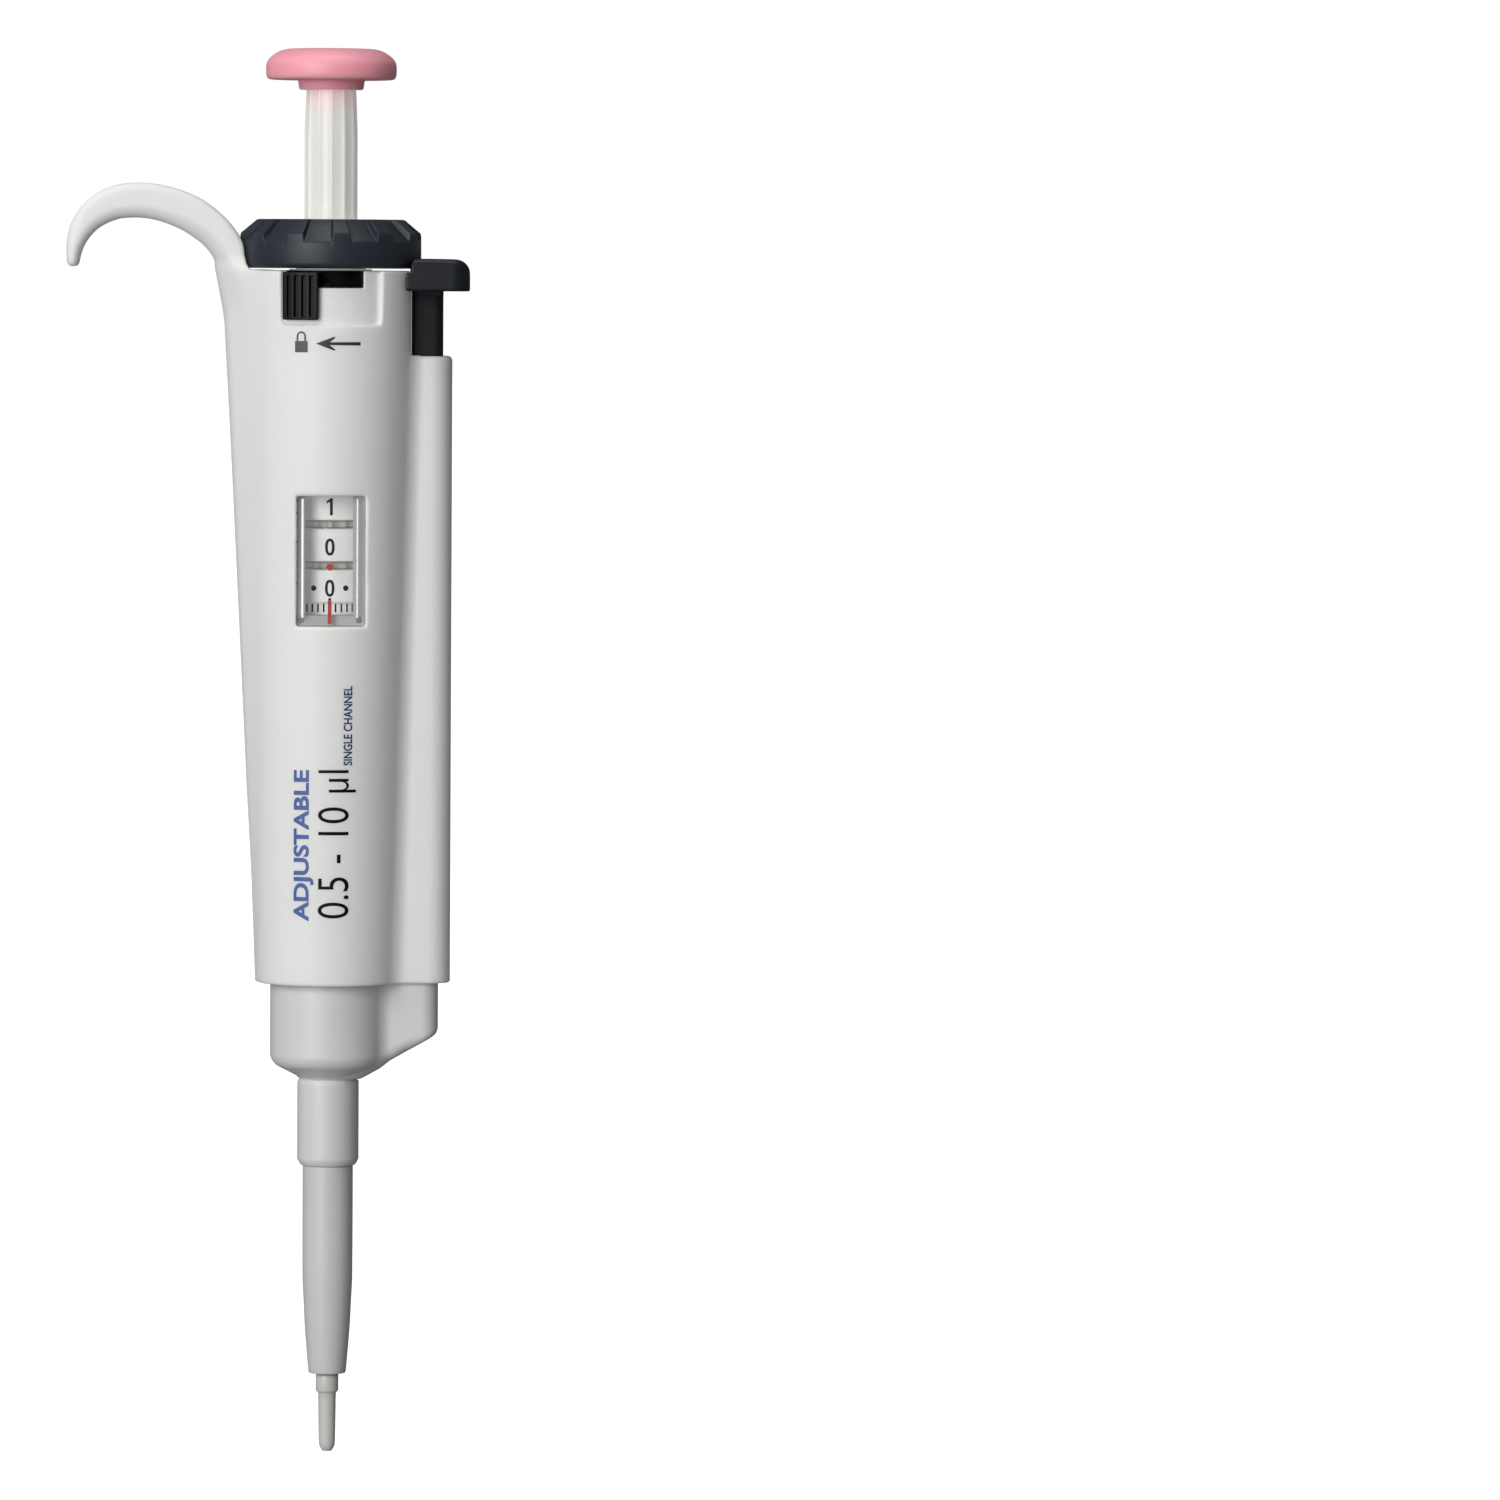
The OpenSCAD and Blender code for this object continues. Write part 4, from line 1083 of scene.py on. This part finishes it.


# painted highlight: bright glowing strips on the lens's side edges, standing in for light caught by the window's edges
place(strip("lens_highlight_left", -5.0, -4.62, 149.6, 170.6, -13.32, -13.0, M["lens_highlight_white"]), "handle", "window")
place(strip("lens_highlight_right", 4.75, 5.0, 149.6, 170.6, -13.3, -13.0, M["lens_highlight_white"]), "handle", "window")


def on_barrel(u0, v0):
    """Flat art laid on the barrel's cone, u to the right from the front line, v up."""
    def f(u, v, h):
        z = v0 + v
        R = 13.0 + (z - B0) * 0.0231
        a = (u0 + u) / R
        r = R + h - 0.004
        return (r * math.sin(a), -r * math.cos(a), z)
    return f


# arrow that points to the padlock
arrow = [([(-4.0, 0), (-0.75, 1.22), (-0.45, 1.12), (-1.5, 0.27), (-1.5, -0.27), (-0.45, -1.12), (-0.75, -1.22)], [[0, 1, 2, 3, 4, 5, 6]]),
         ([(-1.6, -0.25), (4.0, -0.3), (4.0, 0.3), (-1.6, 0.25)], [[0, 1, 2, 3]])]
place(wrap("arrow_mark", arrow, on_barrel(1.4, 198.05), M["ink"], thick=0.02, cut=0.5), "handle", "lever_black")
# padlock
lockp = [([(-1.18, -1.85), (1.18, -1.85), (1.18, 0.15), (-1.18, 0.15)], [[0, 1, 2, 3]])]
arc_pts = [(0.72 * math.cos(t), 0.98 + 0.72 * math.sin(t)) for t in np.linspace(0, math.pi, 13)]
arc_pts = [(0.72, 0.0)] + arc_pts + [(-0.72, 0.0)]
lockp.append(quads_to_shape(stroke(arc_pts, 0.34)))
place(wrap("padlock_mark", lockp, on_barrel(-5.25, 198.35), M["ink_light"], thick=0.02, cut=0.4), "handle", "lever_black")

# plain range legend up the handle
def legend(name, text, size, x0, zc, mat, bold=0.0, wide=1.0):
    pts, faces = text_shape(text, size, name + "_t", bold)
    pts = [(-p[1], p[0] * wide) for p in pts]
    place(wrap(name, [(pts, faces)], on_barrel(x0, zc), mat, thick=0.02, cut=0.4), "handle", "lever_black")


legend("range_legend", "0.5 - 10 \u00b5l", 6.8, 1.45, 109.4, M["digit_ink"], -0.004, 0.82)
legend("kind_legend", "ADJUSTABLE", 3.8, -4.6, 109.1, M["blue_ink"], 0.03, 1.22)
legend("small_legend", "SINGLE CHANNEL", 1.6, 3.35, 130.45, M["navy_ink"], 0.025, 0.81)


# ------------------------------------------------------------------ springs

def spring_mesh(name, centre, R, r, z0, z1, turns, per=40, sides=14):
    """A compression spring: closed coils at each end, even pitch between them."""
    n = int(turns * per)
    t = np.linspace(0, turns, n + 1)
    pitch = np.where((t < 1.0) | (t > turns - 1.0), 2.15 * r, 1.0)
    mid = (t >= 1.0) & (t <= turns - 1.0)
    free = (z1 - z0 - 2 * r) - 2 * 2.15 * r
    pitch = np.where(mid, free / (turns - 2.0), pitch)
    z = np.concatenate([[0.0], np.cumsum((pitch[1:] + pitch[:-1]) / 2 * np.diff(t))])
    z = z0 + r + z * (z1 - z0 - 2 * r) / z[-1]
    verts, faces = [], []
    for k in range(n + 1):
        a = 2 * math.pi * t[k]
        c = np.array([centre[0] + R * math.cos(a), centre[1] + R * math.sin(a), z[k]])
        out = np.array([math.cos(a), math.sin(a), 0.0])
        up = np.array([0.0, 0.0, 1.0])
        for j in range(sides):
            b = 2 * math.pi * j / sides
            verts.append(tuple(c + r * (math.cos(b) * out + math.sin(b) * up)))
    for k in range(n):
        for j in range(sides):
            j2 = (j + 1) % sides
            faces.append((k * sides + j, k * sides + j2, (k + 1) * sides + j2, (k + 1) * sides + j))
    faces.append(list(range(sides))[::-1])
    faces.append([n * sides + j for j in range(sides)])
    return fix_normals(new_object(name, verts, faces, M["spring_steel"], sharp=60))


for sname, node, centre, R, r, z0, z1, turns, joint, travel in (
        ("return_coil", "return_spring", (0, 0), 4.0, 0.35, 75.15, 103.9, 12.5, "plunger_press", 16.7),
        ("blowout_coil", "blowout_spring", (0, 0), 5.65, 0.45, 75.15, 89.6, 5.5, "blowout_travel", 4.00),
        ("ejector_coil", "ejector_spring", (17.2, 0), 2.35, 0.3, 104.1, 124.8, 11, "ejector_press", 9.0)):
    coil = spring_mesh(sname, centre, R, r, z0, z1, turns)
    place(coil, "handle", "spring_steel", node)
    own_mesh(coil)


# ------------------------------------------------------------------ floor, light, camera

def floor_plane(name, size, z):
    me = bpy.data.meshes.new(name)
    s = size / 2
    me.from_pydata([(-s, -s, z), (s, -s, z), (s, s, z), (-s, s, z)], [], [(0, 1, 2, 3)])
    o = bpy.data.objects.new(name, me)
    scene.collection.objects.link(o)
    m = principled(name + "_mat", (252, 252, 252), rough=0.85, vary=0.004, vary_scale=3)
    b = next(n for n in m.node_tree.nodes if n.type == "BSDF_PRINCIPLED")
    b.inputs["Emission Color"].default_value = (1, 1, 1, 1)
    b.inputs["Emission Strength"].default_value = 1.0
    me.materials.append(m)
    # the floor is only a backdrop: the soft boxes light the object
    o.visible_diffuse = False
    o.visible_glossy = False
    return o


floor_plane("floor", 60, -0.25)

world = bpy.data.worlds.new("studio")
scene.world = world
world.use_nodes = True
wt = world.node_tree
bg = wt.nodes["Background"]
out_w = next(n for n in wt.nodes if n.type == "OUTPUT_WORLD")
bg.inputs["Color"].default_value = (1, 1, 1, 1)
bg.inputs["Strength"].default_value = AMBIENT
white = wt.nodes.new("ShaderNodeBackground")
white.inputs["Color"].default_value = (1, 1, 1, 1)
white.inputs["Strength"].default_value = 1.02
lp = wt.nodes.new("ShaderNodeLightPath")
mixw = wt.nodes.new("ShaderNodeMixShader")
wt.links.new(lp.outputs["Is Camera Ray"], mixw.inputs[0])
wt.links.new(bg.outputs[0], mixw.inputs[1])
wt.links.new(white.outputs[0], mixw.inputs[2])
wt.links.new(mixw.outputs[0], out_w.inputs["Surface"])


def area(name, loc, target, size, power, rgb=(1, 1, 1)):
    li = bpy.data.lights.new(name, "AREA")
    li.shape = "RECTANGLE"
    li.size, li.size_y = size
    li.energy = power
    li.color = rgb
    o = bpy.data.objects.new(name, li)
    scene.collection.objects.link(o)
    o.location = loc
    d = Vector(target) - Vector(loc)
    o.rotation_euler = d.to_track_quat("-Z", "Y").to_euler()
    return o


area("key", (-0.72, -1.25, 0.45), (0, 0, 0.13), (0.8, 1.0), KEY)
area("top", (0.0, -0.15, 1.3), (0, 0, 0.13), (0.5, 0.5), TOP)
# the far side gets its own soft box, straight behind
area("back", (0.0, 1.6, 0.25), (0, 0, 0.13), (0.5, 0.5), 8.0).visible_glossy = False


cam = bpy.data.cameras.new("camera")
cam.lens = 210.5
cam.sensor_width = 36
cam.clip_end = 200
co = bpy.data.objects.new("camera", cam)
scene.collection.objects.link(co)
loc = Vector((0.0, -1.566, 0.215))
tgt = Vector((0.07526, 0.0, 0.12563))
q = (tgt - loc).to_track_quat("-Z", "Y")
co.location = loc
co.rotation_euler = (q.to_matrix() @ Matrix.Rotation(math.radians(0.35), 3, "Z")).to_euler()
scene.camera = co

scene.view_settings.view_transform = "Standard"
scene.view_settings.look = "None"
scene.view_settings.exposure = 0.0
scene.view_settings.gamma = 1.0
